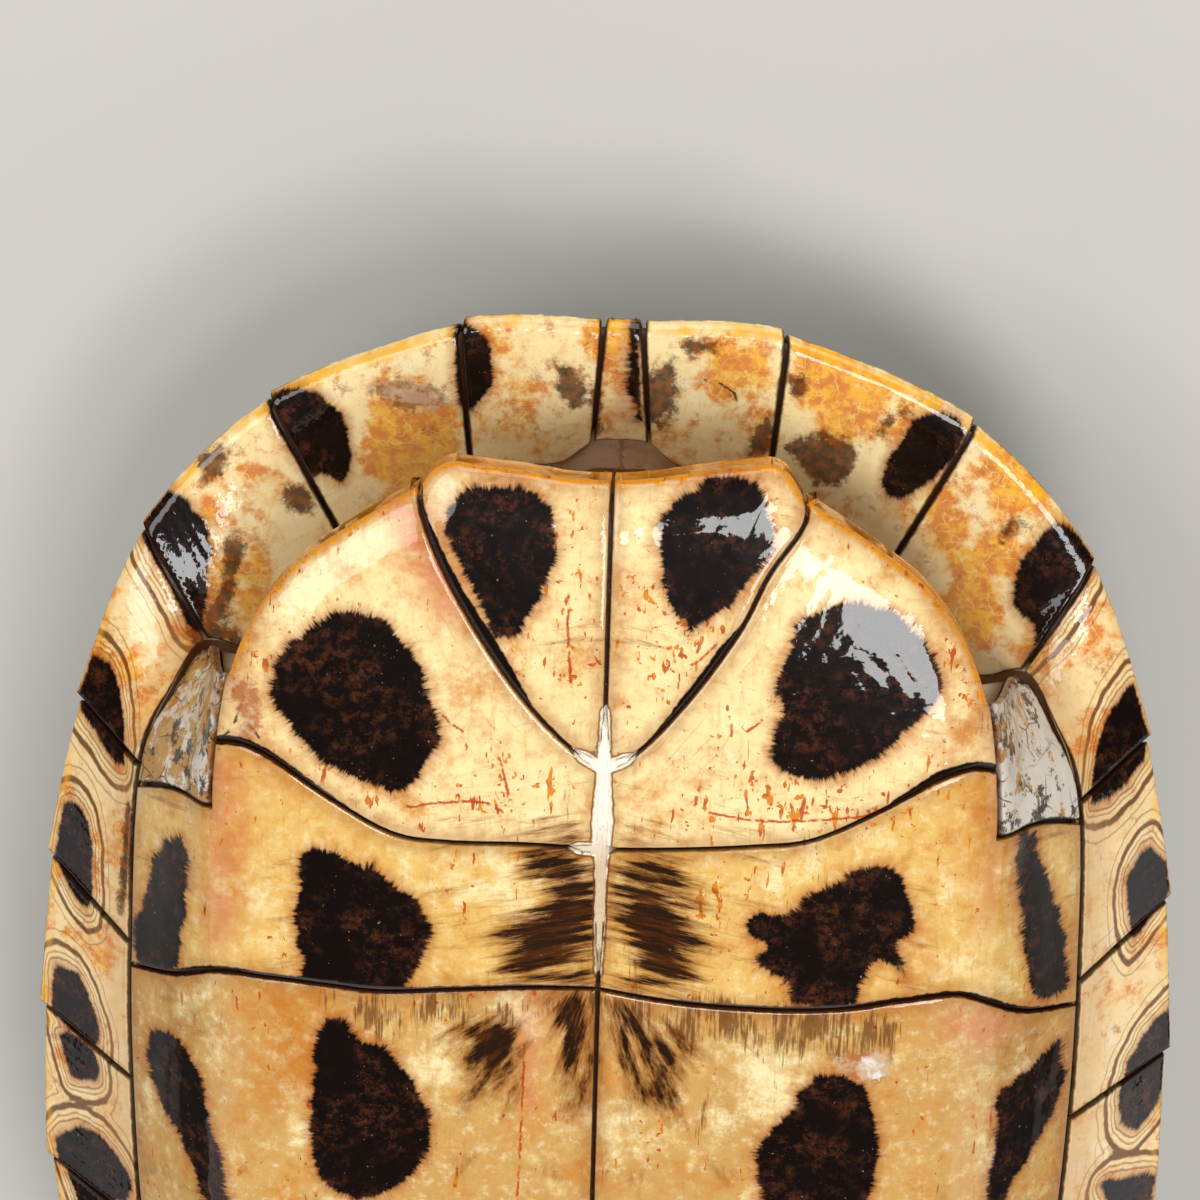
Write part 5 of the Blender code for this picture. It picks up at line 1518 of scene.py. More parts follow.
def made_plain(piece):
    """Turns what a piece's modifiers make into its own mesh, and removes them."""
    graph = bpy.context.evaluated_depsgraph_get()
    mesh = bpy.data.meshes.new_from_object(piece.evaluated_get(graph), preserve_all_data_layers=True,
                                           depsgraph=graph)
    piece.modifiers.clear()
    piece.data = mesh
    mesh.name = piece.name
    return mesh


print("a node maker can:", [name for name in vars(NodeMaker) if name[0] != "_"])

# %% [markdown]
# The backbone runs along the ridge inside the dome, one short body for each vertebra, with a pair of rib ends
# that reach down to the dome. A row of equal parts that follows a curve is a job for Geometry Nodes: one body is
# made once and put on points along the line, and its number and size are inputs of the tree.

# %% The backbone
BACKBONE_ENDS, BACKBONE_COUNT, BACKBONE_LIFT, BODY_SHARE = (-58.0, 62.0), 10, 1.0, 0.94
RIB_OUT, RIB_APART, RIB_TURN, RIB_LEAN, RIB_FOOT = 0.0035, 0.0014, 0.5, 2.1, 1.8
BACKBONE_LINE_POINTS = 40


def backbone_tree():
    numbers = ("Body Radius", "Body Length", "Waist", "Rib Length", "Rib Radius")
    tree = GeometryTree("backbone", {"Count": "Int", **dict.fromkeys(numbers, "Float"), "Material": "Material"})
    given = tree.given
    body = tree.node("GeometryNodeMeshCylinder", {
        "Vertices": 16, "Side Segments": 6, "Radius": given["Body Radius"], "Depth": given["Body Length"]})
    place = tree.node("GeometryNodeInputPosition", {})
    z = tree.node("ShaderNodeSeparateXYZ", {0: place}, 2)
    end_share = tree.math("DIVIDE", z, tree.share(given["Body Length"], 0.5))
    width = tree.rest(tree.share(tree.rest(tree.share(end_share, end_share)), given["Waist"]))
    scale = tree.node("ShaderNodeCombineXYZ", {0: width, 1: width, 2: 1.0})
    pinched = tree.node("ShaderNodeVectorMath", {0: place, 1: scale}, operation="MULTIPLY")
    body = tree.node("GeometryNodeSetPosition", {"Geometry": body, "Position": pinched})
    parts = tree.tree.nodes.new("GeometryNodeJoinGeometry")
    tree.tree.links.new(body, parts.inputs[0])
    rib = tree.node("GeometryNodeMeshCone", {
        "Vertices": 10, "Radius Top": given["Rib Radius"], "Depth": given["Rib Length"],
        "Radius Bottom": tree.share(given["Rib Radius"], RIB_FOOT)})
    for side in (-1, 1):
        leaned = tree.node("GeometryNodeTransform", {
            "Geometry": rib, "Translation": (RIB_OUT, side * RIB_APART, 0.0),
            "Rotation": (side * RIB_TURN, RIB_LEAN, 0.0)})
        tree.tree.links.new(leaned, parts.inputs[0])
    line = tree.node("GeometryNodeMeshToCurve", {0: given["Geometry"]})
    points = tree.node("GeometryNodeCurveToPoints", {"Curve": line, "Count": given["Count"]})
    turn = tree.node("FunctionNodeAlignRotationToVector", {"Vector": (0.0, 1.0, 0.0)}, axis="Z")
    copies = tree.node("GeometryNodeInstanceOnPoints", {
        "Points": points, "Instance": parts.outputs[0], "Rotation": turn})
    tree.end(copies)
    return tree


def backbone_line():
    """An edge chain along the top of the ridge inside the dome."""
    ys = np.linspace(*BACKBONE_ENDS, BACKBONE_LINE_POINTS)
    plan = np.column_stack([0 * ys, ys])
    depth = BONE_DEPTH + BONE_THICKNESS + SPINE_RIDGE_HEIGHT + BACKBONE_LIFT
    points = np.column_stack([plan, dome_height(plan) + depth]) * MM
    mesh = bpy.data.meshes.new("backbone")
    mesh.from_pydata(points.tolist(), [(i, i + 1) for i in range(len(points) - 1)], [])
    return add_object("backbone", mesh)


def backbone_arrays():
    line = backbone_line()
    spacing = (BACKBONE_ENDS[1] - BACKBONE_ENDS[0]) / (BACKBONE_COUNT - 1)
    backbone_tree().use_on(line, {
        "Count": BACKBONE_COUNT, "Body Radius": 0.0022, "Body Length": spacing * BODY_SHARE * MM,
        "Waist": 0.35, "Rib Length": 0.007, "Rib Radius": 0.0007})
    mesh = made_plain(line)
    mesh.calc_loop_triangles()
    points = np.array([v.co for v in mesh.vertices]) / MM
    faces = np.array([t.vertices for t in mesh.loop_triangles])
    bpy.data.objects.remove(line)
    return points, faces


def with_more(points, faces, more_points, more_faces):
    return np.vstack([points, more_points]), np.vstack([faces, more_faces + len(points)])


BACKBONE = backbone_arrays()
print("backbone:", BACKBONE_COUNT, "vertebrae,", len(BACKBONE[1]), "triangles")

# %% [markdown]
# The belly's bone has the same outline as its scutes, a little smaller. Where the midline seam of the front
# lobe has opened, the bone has come up flush with the horn and shows as a white line, so the bone gets a narrow
# raised strip there. Bones grow against each other along sutures, which are marked as distances too.

# %% The belly's bone, and both bones as pieces
BELLY_BONE_SPACING = 1.4
STRIP_POINTS, STRIP_CLEARANCE, STRIP_SLOPE, STRIP_RISE = (0.0, 0.3, 0.5, 0.6), 0.03, 0.08, 1.24
STRIP_APART, STRIP_FORK_RISE, STRIP_BARE_SHARE = 0.12, 3, 2
FREE_BONE_DROP = 0.4
BELLY_SUTURES = [[(0, 52), (18, 47), (38, 58)], [(0, 30), (24, 27), (50, 36)], [(0, -2), (30, -1), (60, -3)],
                 [(0, -46), (24, -42), (44, -54)]]
RIB_SUTURE_OUT = (4, 30, 66)
RIB_SUTURES = [(66, 74), (50, 60), (33, 36), (15, 12), (-3, -12), (-20, -34), (-37, -54), (-53, -68)]


def strip_points():
    """Points that follow the opened seams closely, so that the raised strip has a crisp edge."""
    points = None
    for line, _ in OPEN_TRACKS:
        line = spaced(line, SEAM_SPACING)
        across = unit(np.gradient(line, axis=0))[:, ::-1] * [1, -1]
        for reach in STRIP_POINTS:
            for side in ((1, -1) if reach else (1,)):
                new = line + across * reach * side
                points = new if points is None else np.vstack(
                    [points, new[nearest_of(new, points) > STRIP_APART]])
    return points


def strip_rise(plan):
    distance = np.min([nearest_on(plan, line)[0] for line, _ in OPEN_TRACKS], axis=0)
    height = smooth_step((half_gap(plan) - STRIP_CLEARANCE - distance) / STRIP_SLOPE)
    return STRIP_RISE * height * smooth_step(opened(plan) * STRIP_FORK_RISE)


def suture_distance(plan, rows):
    """Distance to the nearest suture: the midline, and rows that run out to both sides."""
    folded = np.abs(plan) * [1, 0] + plan * [0, 1]
    return np.min([folded[:, 0], *(nearest_on(folded, catmull_rom(row, SEAM_STEPS))[0] for row in rows)], axis=0)


def belly_bone():
    outline = {word: np.vstack([SIDE_EDGES[word][n][:-1] for n in BELLY_OUTLINE]) for word in SIDES}
    ring = np.vstack([outline["left"], [(0, MIDLINE_SPANS["anal"][1])], (outline["right"] * [-1, 1])[:0:-1]])
    ring = pulled_in(ring, SEAM_GAP + free_edge_share(ring) * BONE_DEPTH)
    plan, faces = filled(ring, (), BELLY_BONE_SPACING, strip_points())
    skin, normals = belly_skin(plan)
    depth = BONE_DEPTH + free_edge_share(plan) * FREE_BONE_DROP - strip_rise(plan)
    outer = skin - normals * depth[:, None]
    inner = skin - normals * (BONE_DEPTH + BONE_THICKNESS)
    loop, count = boundary_loop(faces), len(plan)
    points = np.vstack([outer, inner])
    bare = smooth_step(strip_rise(plan) / STRIP_RISE * STRIP_BARE_SHARE)
    covered = np.concatenate([1 - bare, np.zeros(count)])
    return points, np.vstack([faces, faces[:, ::-1] + count, strip(loop, loop + count)]), covered


points, faces, covered = belly_bone()
add_piece("plastron_bone", points, faces, suture=suture_distance(points[:, :2], BELLY_SUTURES), covered=covered,
          tan=np.zeros(len(points)), bare=bare_depth(points[:, :2]))
points, faces = with_more(*CARAPACE_BONE, *BACKBONE)
rib_rows = [list(zip(RIB_SUTURE_OUT, (a, (a + b) / 2, b))) for a, b in RIB_SUTURES]
add_piece("carapace_bone", points, faces, suture=suture_distance(points[:, :2], rib_rows),
          covered=np.pad(CARAPACE_COVERED, (0, len(BACKBONE[0]))), tan=np.ones(len(points)),
          bare=np.full(len(points), -FAR_CORNER))
print("bones made; triangles so far:", triangles_made())

# %% [markdown]
# Horn is laid down year by year from the seams outwards, which leaves faint steps that follow each scute's
# outline, and the surface between them is slightly uneven. The rule is the same for all fifty-four scutes, so one
# Geometry Nodes tree sinks every scute's outer face by it. It only moves points inwards, because the shell has
# to stay inside its solids, and it reads the distance to the seam that each point already carries.

# %% Growth rings in relief
WANDER_NOISE, LUMP_NOISE = (90.0, 3.0), (260.0, 2.0)
PATCHY_FROM, PATCHY_TO, CALM_FROM = 0.35, 0.65, 0.3
RELIEF_INPUTS = ("Ring Spacing", "Ring Height", "Waviness", "Unevenness", "Edge Calm")
RELIEF_ROWS = {"belly_scute": (2.3, 0.04, 3.0, 0.10, 3.0), "rim_scute": (1.5, 0.09, 1.5, 0.12, 1.5),
               "back_scute": (1.9, 0.22, 1.2, 0.20, 1.5)}


def relief_tree():
    numbers = dict.fromkeys((*RELIEF_INPUTS, "Seed"), "Float")
    tree = GeometryTree("scute_relief", {**numbers, "Material": "Material"})
    given = tree.given
    edge, skin = (tree.node("GeometryNodeInputNamedAttribute", {"Name": name}, data_type="FLOAT")
                  for name in ("edge", "skin"))
    place = tree.node("GeometryNodeInputPosition", {})
    wander, lumps = (tree.node("ShaderNodeTexNoise", {
        "Vector": place, "W": given["Seed"], "Scale": scale, "Detail": detail}, noise_dimensions="4D")
        for scale, detail in (WANDER_NOISE, LUMP_NOISE))
    turns = tree.math("DIVIDE", tree.spread(edge, given["Waviness"], wander), given["Ring Spacing"])
    wave = tree.math("SINE", tree.share(turns, 2 * math.pi))
    patchy = tree.node("ShaderNodeMapRange", {"Value": wander, 1: PATCHY_FROM, 2: PATCHY_TO})
    sunk = tree.share(tree.math("SUBTRACT", wave, 1.0), 0.5, given["Ring Height"], patchy)
    sunk = tree.math("SUBTRACT", sunk, tree.share(lumps, given["Unevenness"]))
    calm = tree.node("ShaderNodeMapRange", {"Value": edge, 1: CALM_FROM, 2: given["Edge Calm"]})
    amount = tree.share(sunk, calm, tree.share(skin, MM))
    normal = tree.node("GeometryNodeInputNormal", {})
    offset = tree.node("ShaderNodeVectorMath", {0: normal, "Scale": amount}, operation="SCALE")
    tree.end(tree.node("GeometryNodeSetPosition", {"Geometry": given["Geometry"], "Offset": offset}))
    return tree


RELIEF = relief_tree()
RELIEF_SIZES = {slot: dict(zip(RELIEF_INPUTS, row)) for slot, row in RELIEF_ROWS.items()}
print("relief inputs:", RELIEF_INPUTS)

# %% [markdown]
# Materials are trees of nodes too. Colours are written as they look on screen, 0 to 255, and turned into light
# amounts. Everything is measured in millimetres on the piece itself, so that the pattern stays fixed to it from
# every side. A material is built as a painter would: a base colour first, then coat over coat, each with a share
# that says where and how strongly it covers.

# %% A helper for materials
SPECULAR, COAT_IOR = 0.05, 1.4


def paint(colour):
    """A screen colour as the light amounts that a shader takes. A node's output stays as it is."""
    if not isinstance(colour, tuple):
        return colour
    channels = [c / 255 for c in colour]
    return (*((c / 12.92 if c <= 0.04045 else ((c + 0.055) / 1.055) ** 2.4) for c in channels), 1.0)


class Finish(NodeMaker):
    """A material. The colour painted so far is kept in self.colour."""

    def __init__(self, name, colour=None):
        self.material = bpy.data.materials.new(name)
        self.material.use_nodes = True
        super().__init__(self.material.node_tree)
        self.shader = self.tree.nodes["Principled BSDF"]
        place = self.node("ShaderNodeTexCoord", {}, "Object")
        self.mm = self.node("ShaderNodeVectorMath", {0: place, "Scale": 1 / MM}, operation="SCALE")
        self.colour = colour

    def value(self, name):
        return self.node("ShaderNodeAttribute", {}, "Fac", attribute_name=name)

    def vector(self, name):
        return self.node("ShaderNodeAttribute", {}, "Vector", attribute_name=name)

    def part(self, vector, axis):
        return self.node("ShaderNodeSeparateXYZ", {0: vector}, "XYZ".index(axis))

    def noise(self, size, detail=2.0, roughness=0.5, stretch=(1, 1, 1), vector=None):
        """Noise with features of about a size in millimetres, stretched where a factor is below 1."""
        vector = self.node("ShaderNodeVectorMath", {0: vector or self.mm, 1: stretch}, operation="MULTIPLY")
        return self.node("ShaderNodeTexNoise", {"Vector": vector, "Scale": 1 / size, "Detail": detail,
                                                "Roughness": roughness})

    def smooth(self, value, none, full):
        """A share that is 0 where the value is none, 1 where it is full, and smooth between."""
        return self.node("ShaderNodeMapRange", {"Value": value, 1: none, 2: full},
                         interpolation_type="SMOOTHSTEP")

    def off(self, value, middle):
        """How far a value is from a middle one."""
        return self.math("ABSOLUTE", self.math("SUBTRACT", value, middle))

    def mix(self, share, under, over):
        return self.node("ShaderNodeMix", {0: share, 6: paint(under), 7: paint(over)}, 2, data_type="RGBA")

    def coat(self, hue, *shares):
        """Lays one more colour over what is painted so far."""
        self.colour = self.mix(self.share(*shares), self.colour, hue)

    def bump(self, height, size):
        """A fine relief that only the light sees, its height in millimetres."""
        return self.node("ShaderNodeBump", {"Height": height, "Strength": 1.0, "Distance": size * MM})

    def done(self, roughness, normal=None, coat=1.0, coat_roughness=0.03):
        sockets = self.shader.inputs
        self.put(sockets["Base Color"], paint(self.colour))
        self.put(sockets["Roughness"], roughness)
        sockets["Coat Weight"].default_value = coat
        sockets["Coat Roughness"].default_value = coat_roughness
        sockets["Coat IOR"].default_value = COAT_IOR
        sockets["Specular IOR Level"].default_value = SPECULAR
        if normal:
            self.put(sockets["Normal"], normal)
            self.put(sockets["Coat Normal"], normal)
        return self.material


print("bright cream is", [round(c, 2) for c in paint((253, 230, 176))[:3]])

# %% [markdown]
# Some marks come back on several scutes, so each is written once. Clouds make the horn uneven at one size. Growth
# lines repeat a scute's outline. A blotch's edge is feathered: noise stretched along the direction out of the
# blotch makes its depth uneven before it is cut off. Scratches are lines whose sides a noise has frayed, and a
# healed wound is a discoloured field with a paler heart.

# %% Marks that several finishes share
LINE_SPACING = 1.9


def grained(f, size, light, dark, amount):
    """Clouds of one size, lighter and darker than the horn."""
    cloud = f.noise(size, 5.0, 0.7)
    f.coat(light, f.smooth(cloud, 0.52, 0.72), amount)
    f.coat(dark, f.smooth(cloud, 0.48, 0.28), amount)


def growth_lines(f, edge, wander, size, width, core):
    """Thin lines side by side along a scute's outline, that wander by a noise of a size."""
    rings = f.math("FRACT", f.math("DIVIDE", f.spread(edge, wander, f.noise(size, 3.0)), LINE_SPACING))
    return f.smooth(f.off(rings, 0.5), width, core)


def blotched(f, feather, fringe_size):
    """Near-black blotches, feathered by about so many millimetres."""
    fringe = f.vector("fringe")
    streaks = f.noise(fringe_size, 5.0, 0.75, (1, 1, 0.16), fringe)
    ragged = f.spread(f.part(fringe, "Z"), feather, streaks)
    ragged = f.spread(ragged, feather * 0.8, f.noise(2.6, 3.0))
    f.coat((166, 80, 20), f.smooth(ragged, -1.7, 0.2), 0.6)
    mottle = f.smooth(f.noise(1.6, 6.0, 0.78), 0.46, 0.66)
    inner = f.mix(f.share(mottle, f.smooth(f.noise(6, 3.0), 0.36, 0.62)), (15, 6, 4), (82, 42, 24))
    specks = f.share(f.smooth(f.noise(0.5, 1.0), 0.76, 0.81), 0.55)
    f.coat(f.mix(specks, inner, (190, 158, 124)), f.smooth(ragged, -0.3, 0.35))


def scarred(f, around, heart, strength):
    """Healed wounds: a discoloured field with a paler heart."""
    crumbs = f.noise(0.9, 5.0, 0.75)
    for kind, hue in (("scab", around), ("scar", heart)):
        share = f.smooth(f.spread(f.value(kind), 2.2, crumbs), 0.35, 0.75)
        f.coat(f.mix(f.smooth(f.noise(1.5, 4.0), 0.42, 0.62), hue, (206, 174, 140)), share, strength)


def scratched(f, width):
    """Fine lines: rust-coloured scratches and dark cracks."""
    scratch = f.vector("scratch")
    side = f.spread(f.part(scratch, "X"), 0.9, f.noise(1.6, 4.0, 0.7))
    line = f.smooth(f.math("ABSOLUTE", side), width, width * 0.3)
    hue = f.mix(f.part(scratch, "Z"), (184, 66, 0), (52, 26, 12))
    f.coat(hue, line, f.smooth(f.part(scratch, "Y"), 0.25, 0.6), f.smooth(f.noise(1.3, 3.0), 0.34, 0.5), 0.9)


print("growth lines are", LINE_SPACING, "mm apart")

# %% [markdown]
# Four marks are the belly's alone: rust flecks, the cracked and milky horn of the small corner scutes with a
# painted sheen on it, brown smoke beside the midline, and the stained seams with bare bone in the open one. Each is
# noise cut off at a level, and a share kept on the points moves that level, so that a mark thins out instead of
# ending.

# %% Marks of the belly alone
BARE_STREAKS_FROM, BARE_STREAKS_TO = 44.0, 36.0


def rusted(f):
    """Rust flecks: upright dashes and dots, crowded where a patch says so."""
    dashes, dots = f.noise(1.2, 3.0, 0.55, (1.2, 0.34, 1)), f.noise(1.1, 3.0, 0.55)
    amount = f.math("MAXIMUM", f.math("ADD", dashes, 0.01), dots)
    level = f.math("SUBTRACT", 0.69, f.math("MULTIPLY", f.value("rust"), 0.095))
    level = f.spread(level, -0.2, f.noise(6, 3.0))
    fleck = f.smooth(f.math("SUBTRACT", amount, level), 0.0, 0.03)
    f.coat(f.mix(f.smooth(f.noise(1.8), 0.42, 0.58), (180, 64, 0), (216, 124, 4)), fleck, 0.9)


def crackled(f):
    """The small corner scutes: olive tan, pale where the horn has turned cloudy white and where a sheen is painted
    on, most on the left ones, and split by dark cracks, which are returned."""
    crackle = f.value("crackle")
    bent = f.node("ShaderNodeVectorMath", {0: f.mm, 1: f.noise(5, 3.0)}, operation="ADD")
    cells = f.node("ShaderNodeTexVoronoi", {"Vector": bent, "Scale": 0.2, "Randomness": 1.0},
                   feature="DISTANCE_TO_EDGE")
    cracks = f.share(crackle, f.smooth(cells, 0.035, 0.0), f.smooth(f.noise(6), 0.42, 0.58))
    # Milky horn plus a painted sheen. The added share towards X above 0 makes the left ones paler.
    milky_and_sheen = f.smooth(f.plus(f.noise(5, 5.0, 0.7), f.smooth(f.part(f.mm, "X"), 0.0, 20.0), 0.1), 0.48, 0.56)
    f.coat((172, 118, 48), crackle, 0.6)
    # The pale coat stands for milky horn and a painted sheen.
    f.coat((228, 222, 210), crackle, milky_and_sheen, 0.85)
    f.coat((34, 24, 20), crackle, f.smooth(f.noise(3.4, 5.0, 0.72), 0.53, 0.59), 0.9)
    f.coat((46, 28, 16), cracks, 0.85)
    return cracks


def smoked(f):
    """Brown smoke in wisps beside the midline, and hairs that hang from the seam behind it."""
    sweep = f.vector("sweep")
    wisps, tufts = f.noise(1.2, 6.0, 0.72, (1, 0.11, 1), sweep), f.noise(3.6, 2.0, 0.5, (1, 0.3, 1), sweep)
    smoky = f.spread(f.spread(f.value("smoke"), 2.2, wisps), 1.2, tufts)
    f.coat((142, 80, 24), f.smooth(smoky, 0.15, 0.7), 0.78)
    hue = f.mix(f.smooth(wisps, 0.45, 0.55), (70, 32, 8), (27, 11, 4))
    f.coat(hue, f.smooth(smoky, 0.52, 0.84), 0.97)
    hairs = f.spread(f.value("hairs"), 2.8, f.noise(0.5, 4.0, 0.65, (1.5, 0.1, 1)))
    hairs = f.spread(hairs, 3.0, f.noise(3.0, 3.0, 0.6, (1, 0.4, 1)))
    f.coat((92, 42, 8), f.smooth(hairs, 0.66, 1.25), 0.75)


def seamed(f, edge):
    """Black stains along the seams, brown lines in them, and the bare bone of the open midline."""
    f.coat((16, 8, 5), f.smooth(f.spread(f.value("stain"), 0.5, f.noise(0.9, 3.0)), -0.14, 0.12))
    bare = f.smooth(f.spread(f.value("bare"), 0.5, f.noise(1.2, 3.0)), -0.08, 0.08)
    closed_seam = f.share(f.rest(f.value("free")), f.rest(bare))
    f.coat((92, 50, 22), f.smooth(f.spread(edge, 0.3, f.noise(1.2, 3.0)), 0.26, 0.0), 0.75, closed_seam)
    grain = f.smooth(f.noise(0.5, 3.0, 0.6, (1.6, 0.1, 1)), 0.55, 0.66)
    low_end = f.smooth(f.part(f.mm, "Y"), BARE_STREAKS_FROM, BARE_STREAKS_TO)
    f.coat(f.mix(f.share(grain, low_end, 0.9), (244, 234, 218), (104, 64, 38)), bare)
    outline = f.math("ADD", f.spread(f.value("bare"), 0.4, f.noise(1.2, 3.0)), 0.2)
    outline = f.smooth(f.math("ABSOLUTE", outline), 0.16, 0.04)
    f.coat((96, 54, 26), outline, 0.75)


print("bone is streaked brown below y =", BARE_STREAKS_FROM, "mm")

# %% [markdown]
# The belly is cream at the head end and deepens to lemon and then tan towards the tail. Over that lie grain of
# three sizes, the growth lines, brown and golden edges, rosy patches, rust flecks and scratches, and the smoky
# streaks beside the midline. The near-black blotches come next, then the scars and the stained seams, and last
# the white line of bare bone in the open midline.

# %% Belly horn
def belly_horn():
    f = Finish("belly_horn")
    edge = f.value("edge")
    tone = f.spread(f.value("tone"), 0.5, f.noise(14, 3.0))
    f.colour = f.mix(f.smooth(tone, 0.0, 0.5), (250, 222, 160), (230, 186, 104))
    f.coat((205, 160, 92), f.smooth(tone, 0.5, 1.0))
    grained(f, 9.0, (255, 240, 184), (208, 136, 54), 0.85)
    grained(f, 3.6, (255, 238, 170), (206, 130, 66), 0.4)
    grained(f, 1.6, (255, 242, 200), (200, 124, 50), 0.45)
    f.coat((196, 120, 44), f.smooth(f.noise(0.8, 4.0, 0.6, (1, 0.18, 1)), 0.52, 0.78), 0.38)

    f.coat((196, 116, 28), f.value("warm"), f.smooth(f.noise(5, 5.0, 0.7), 0.30, 0.62), 0.9)
    f.coat((160, 92, 36), growth_lines(f, edge, 2.2, 9, 0.09, 0.0), f.smooth(f.noise(7), 0.52, 0.72), 0.25)
    f.coat((160, 92, 36), f.smooth(f.spread(edge, 2.8, f.noise(1.4, 5.0)), 2.8, 0.0), 0.5)
    golden = f.share(f.value("free"), f.smooth(f.spread(edge, 1.4, f.noise(1.6, 4.0)), 2.7, 0.9))
    f.coat((232, 146, 0), golden)
    f.coat((158, 66, 4), golden, f.smooth(f.noise(1.1, 5.0, 0.75), 0.52, 0.64), 0.6)
    f.coat((214, 112, 88), f.value("blush"), f.smooth(f.noise(3, 5.0, 0.7), 0.3, 0.6), 0.6)
    rusted(f)
    scratched(f, 0.26)
    smoked(f)
    cracks = crackled(f)
    blotched(f, 2.4, 0.5)
    scarred(f, (176, 104, 60), (240, 236, 228), 0.85)
    seamed(f, edge)

    height = f.math("ADD", f.plus(f.noise(2.6), cracks, -1.2), f.share(f.value("crackle"), 8.0, f.noise(2.4, 3.0)))
    height = f.plus(f.plus(height, f.value("scar"), 3.0), f.noise(0.5), 0.08)
    return f.done(f.plus(0.28, f.noise(3), 0.12), f.bump(height, 0.035))


# %% [markdown]
# Rim scutes show two faces. The underside is cream and orange with the eye-like marks: a black centre with
# brown rings that repeat its outline. The upper side, which faces down here, is olive brown with a yellow bar,
# and the sharp edge between them is worn to gold.

# %% Rim horn
RIM_EDGE = WRAP_LENGTH / 2
EYE_RINGS = ((1.0, 0.22, 0.6), (1.75, 0.2, 0.5), (2.9, 0.6, 0.9), (4.6, 0.2, 0.45))


def rim_horn():
    f = Finish("rim_horn")
    edge, chart, ringed = f.value("edge"), f.vector("chart"), f.value("ringed")
    around = f.part(chart, "Y")
    tone = f.spread(ringed, 1.0, f.noise(10, 4.0, 0.6))
    f.colour = f.mix(f.smooth(tone, -0.3, 1.3), (255, 230, 170), (246, 214, 156))
    grained(f, 6.0, (255, 244, 214), (226, 160, 76), 0.5)
    grained(f, 1.6, (255, 244, 210), (214, 150, 74), 0.3)
    broken = f.noise(2.2, 5.0, 0.7)
    patchy = f.spread(f.plus(f.noise(8, 4.0, 0.6), f.value("amber"), 0.3), 0.5, broken)
    orange = f.share(f.smooth(patchy, 0.5, 0.68), 0.85)
    f.coat(f.mix(f.smooth(broken, 0.4, 0.6), (248, 176, 30), (218, 112, 10)), orange)
    f.coat((176, 92, 20), f.smooth(f.noise(3.4, 6.0, 0.78), 0.55, 0.68), 0.65)
    f.coat((255, 226, 150), f.smooth(f.off(f.noise(3.2), 0.5), 0.018, 0.0), orange, 0.6)

    f.coat((150, 92, 44), growth_lines(f, edge, 1.6, 6, 0.1, 0.0), f.smooth(f.noise(6), 0.5, 0.7),
           f.plus(0.12, ringed, 0.3))
    outside = f.math("MULTIPLY", f.part(f.vector("fringe"), "Z"), -1.0)
    outside = f.spread(outside, 1.2, f.noise(3.0, 4.0))
    for middle, width, strength in EYE_RINGS:
        f.coat((98, 50, 18), f.smooth(f.off(outside, middle), width, width * 0.4), ringed, strength)

    gold = f.smooth(f.off(f.spread(around, 2.6, f.noise(2.4, 5.0)), RIM_EDGE + 1.1), 1.5, 0.2)
    f.coat((244, 178, 20), gold, 0.85, f.smooth(f.noise(6, 3.0), 0.38, 0.56),
           f.rest(f.math("MULTIPLY", ringed, 0.5)))
    f.coat((176, 122, 66), f.smooth(f.spread(around, 6.0, f.noise(7, 4.0)), 31.0, 39.0), 0.4)
    brown = f.spread(f.value("brown"), 1.8, f.noise(1.8, 6.0, 0.75))
    f.coat(f.mix(f.smooth(f.noise(1.1, 4.0), 0.4, 0.62), (54, 22, 8), (124, 60, 18)),
           f.smooth(brown, 0.25, 0.7), 0.9)
    scarred(f, (122, 62, 56), (214, 176, 140), 0.7)
    blotched(f, 1.6, 0.6)
    scratched(f, 0.22)

    back = f.mix(f.smooth(f.noise(5, 5.0, 0.7), 0.4, 0.62), (52, 38, 18), (96, 78, 36))
    bar = f.smooth(f.noise(5, 3.0, 0.5, (1, 0.16, 1), chart), 0.58, 0.66)
    back = f.mix(f.share(bar, 0.85), back, (206, 160, 62))
    f.coat(back, f.smooth(f.spread(around, 1.2, f.noise(3, 3.0)), RIM_EDGE - 0.2, RIM_EDGE - 1.6))
    worn = f.smooth(f.off(around, RIM_EDGE - 0.6), 0.8, 0.25)
    f.coat((52, 28, 12), worn, f.smooth(f.noise(2.2, 4.0), 0.35, 0.5), 0.85)
    f.coat((40, 20, 10), f.smooth(f.spread(edge, 0.5, f.noise(1.2, 3.0)), 0.5, 0.1), 0.9)
    return f.done(0.3, f.bump(f.plus(f.noise(2.2, 3.0), f.noise(0.6), 0.12), 0.05))


# %% [markdown]
# The dome isn't in the photograph. A slider's back is olive brown with thin wandering yellow lines and darker
# smudges, and its growth rings are the deepest. The smooth lacquered look is kept the same all round.

# %% Back horn
def back_horn():
    f = Finish("back_horn")
    edge = f.value("edge")
    f.colour = f.mix(f.smooth(f.noise(9, 5.0, 0.65), 0.36, 0.64), (46, 34, 16), (98, 82, 38))
    lines = f.math("FRACT", f.math("MULTIPLY", f.noise(26, 2.0, 0.5, (1, 0.55, 1)), 9.0))
    f.coat((204, 160, 66), f.smooth(f.off(lines, 0.5), 0.14, 0.03), f.smooth(f.noise(8, 3.0), 0.46, 0.6), 0.8)
    f.coat((26, 18, 10), f.smooth(f.noise(12, 4.0, 0.6), 0.58, 0.7), 0.7)
    ring = f.share(growth_lines(f, edge, 1.0, 7, 0.2, 0.02), 0.45)
    f.coat((30, 21, 10), ring)
    f.coat((24, 16, 8), f.smooth(f.spread(edge, 0.6, f.noise(1.6, 3.0)), 0.8, 0.2), 0.85)
    return f.done(0.32, f.bump(f.plus(f.noise(2.4, 4.0), ring, -0.5), 0.08))


# %% [markdown]
# Cleaned bone is cream, stained brown in its pores and along its sutures, and much less glossy than the horn
# over it. The sutures zigzag, which is noise again, added to the distance from a smooth line.

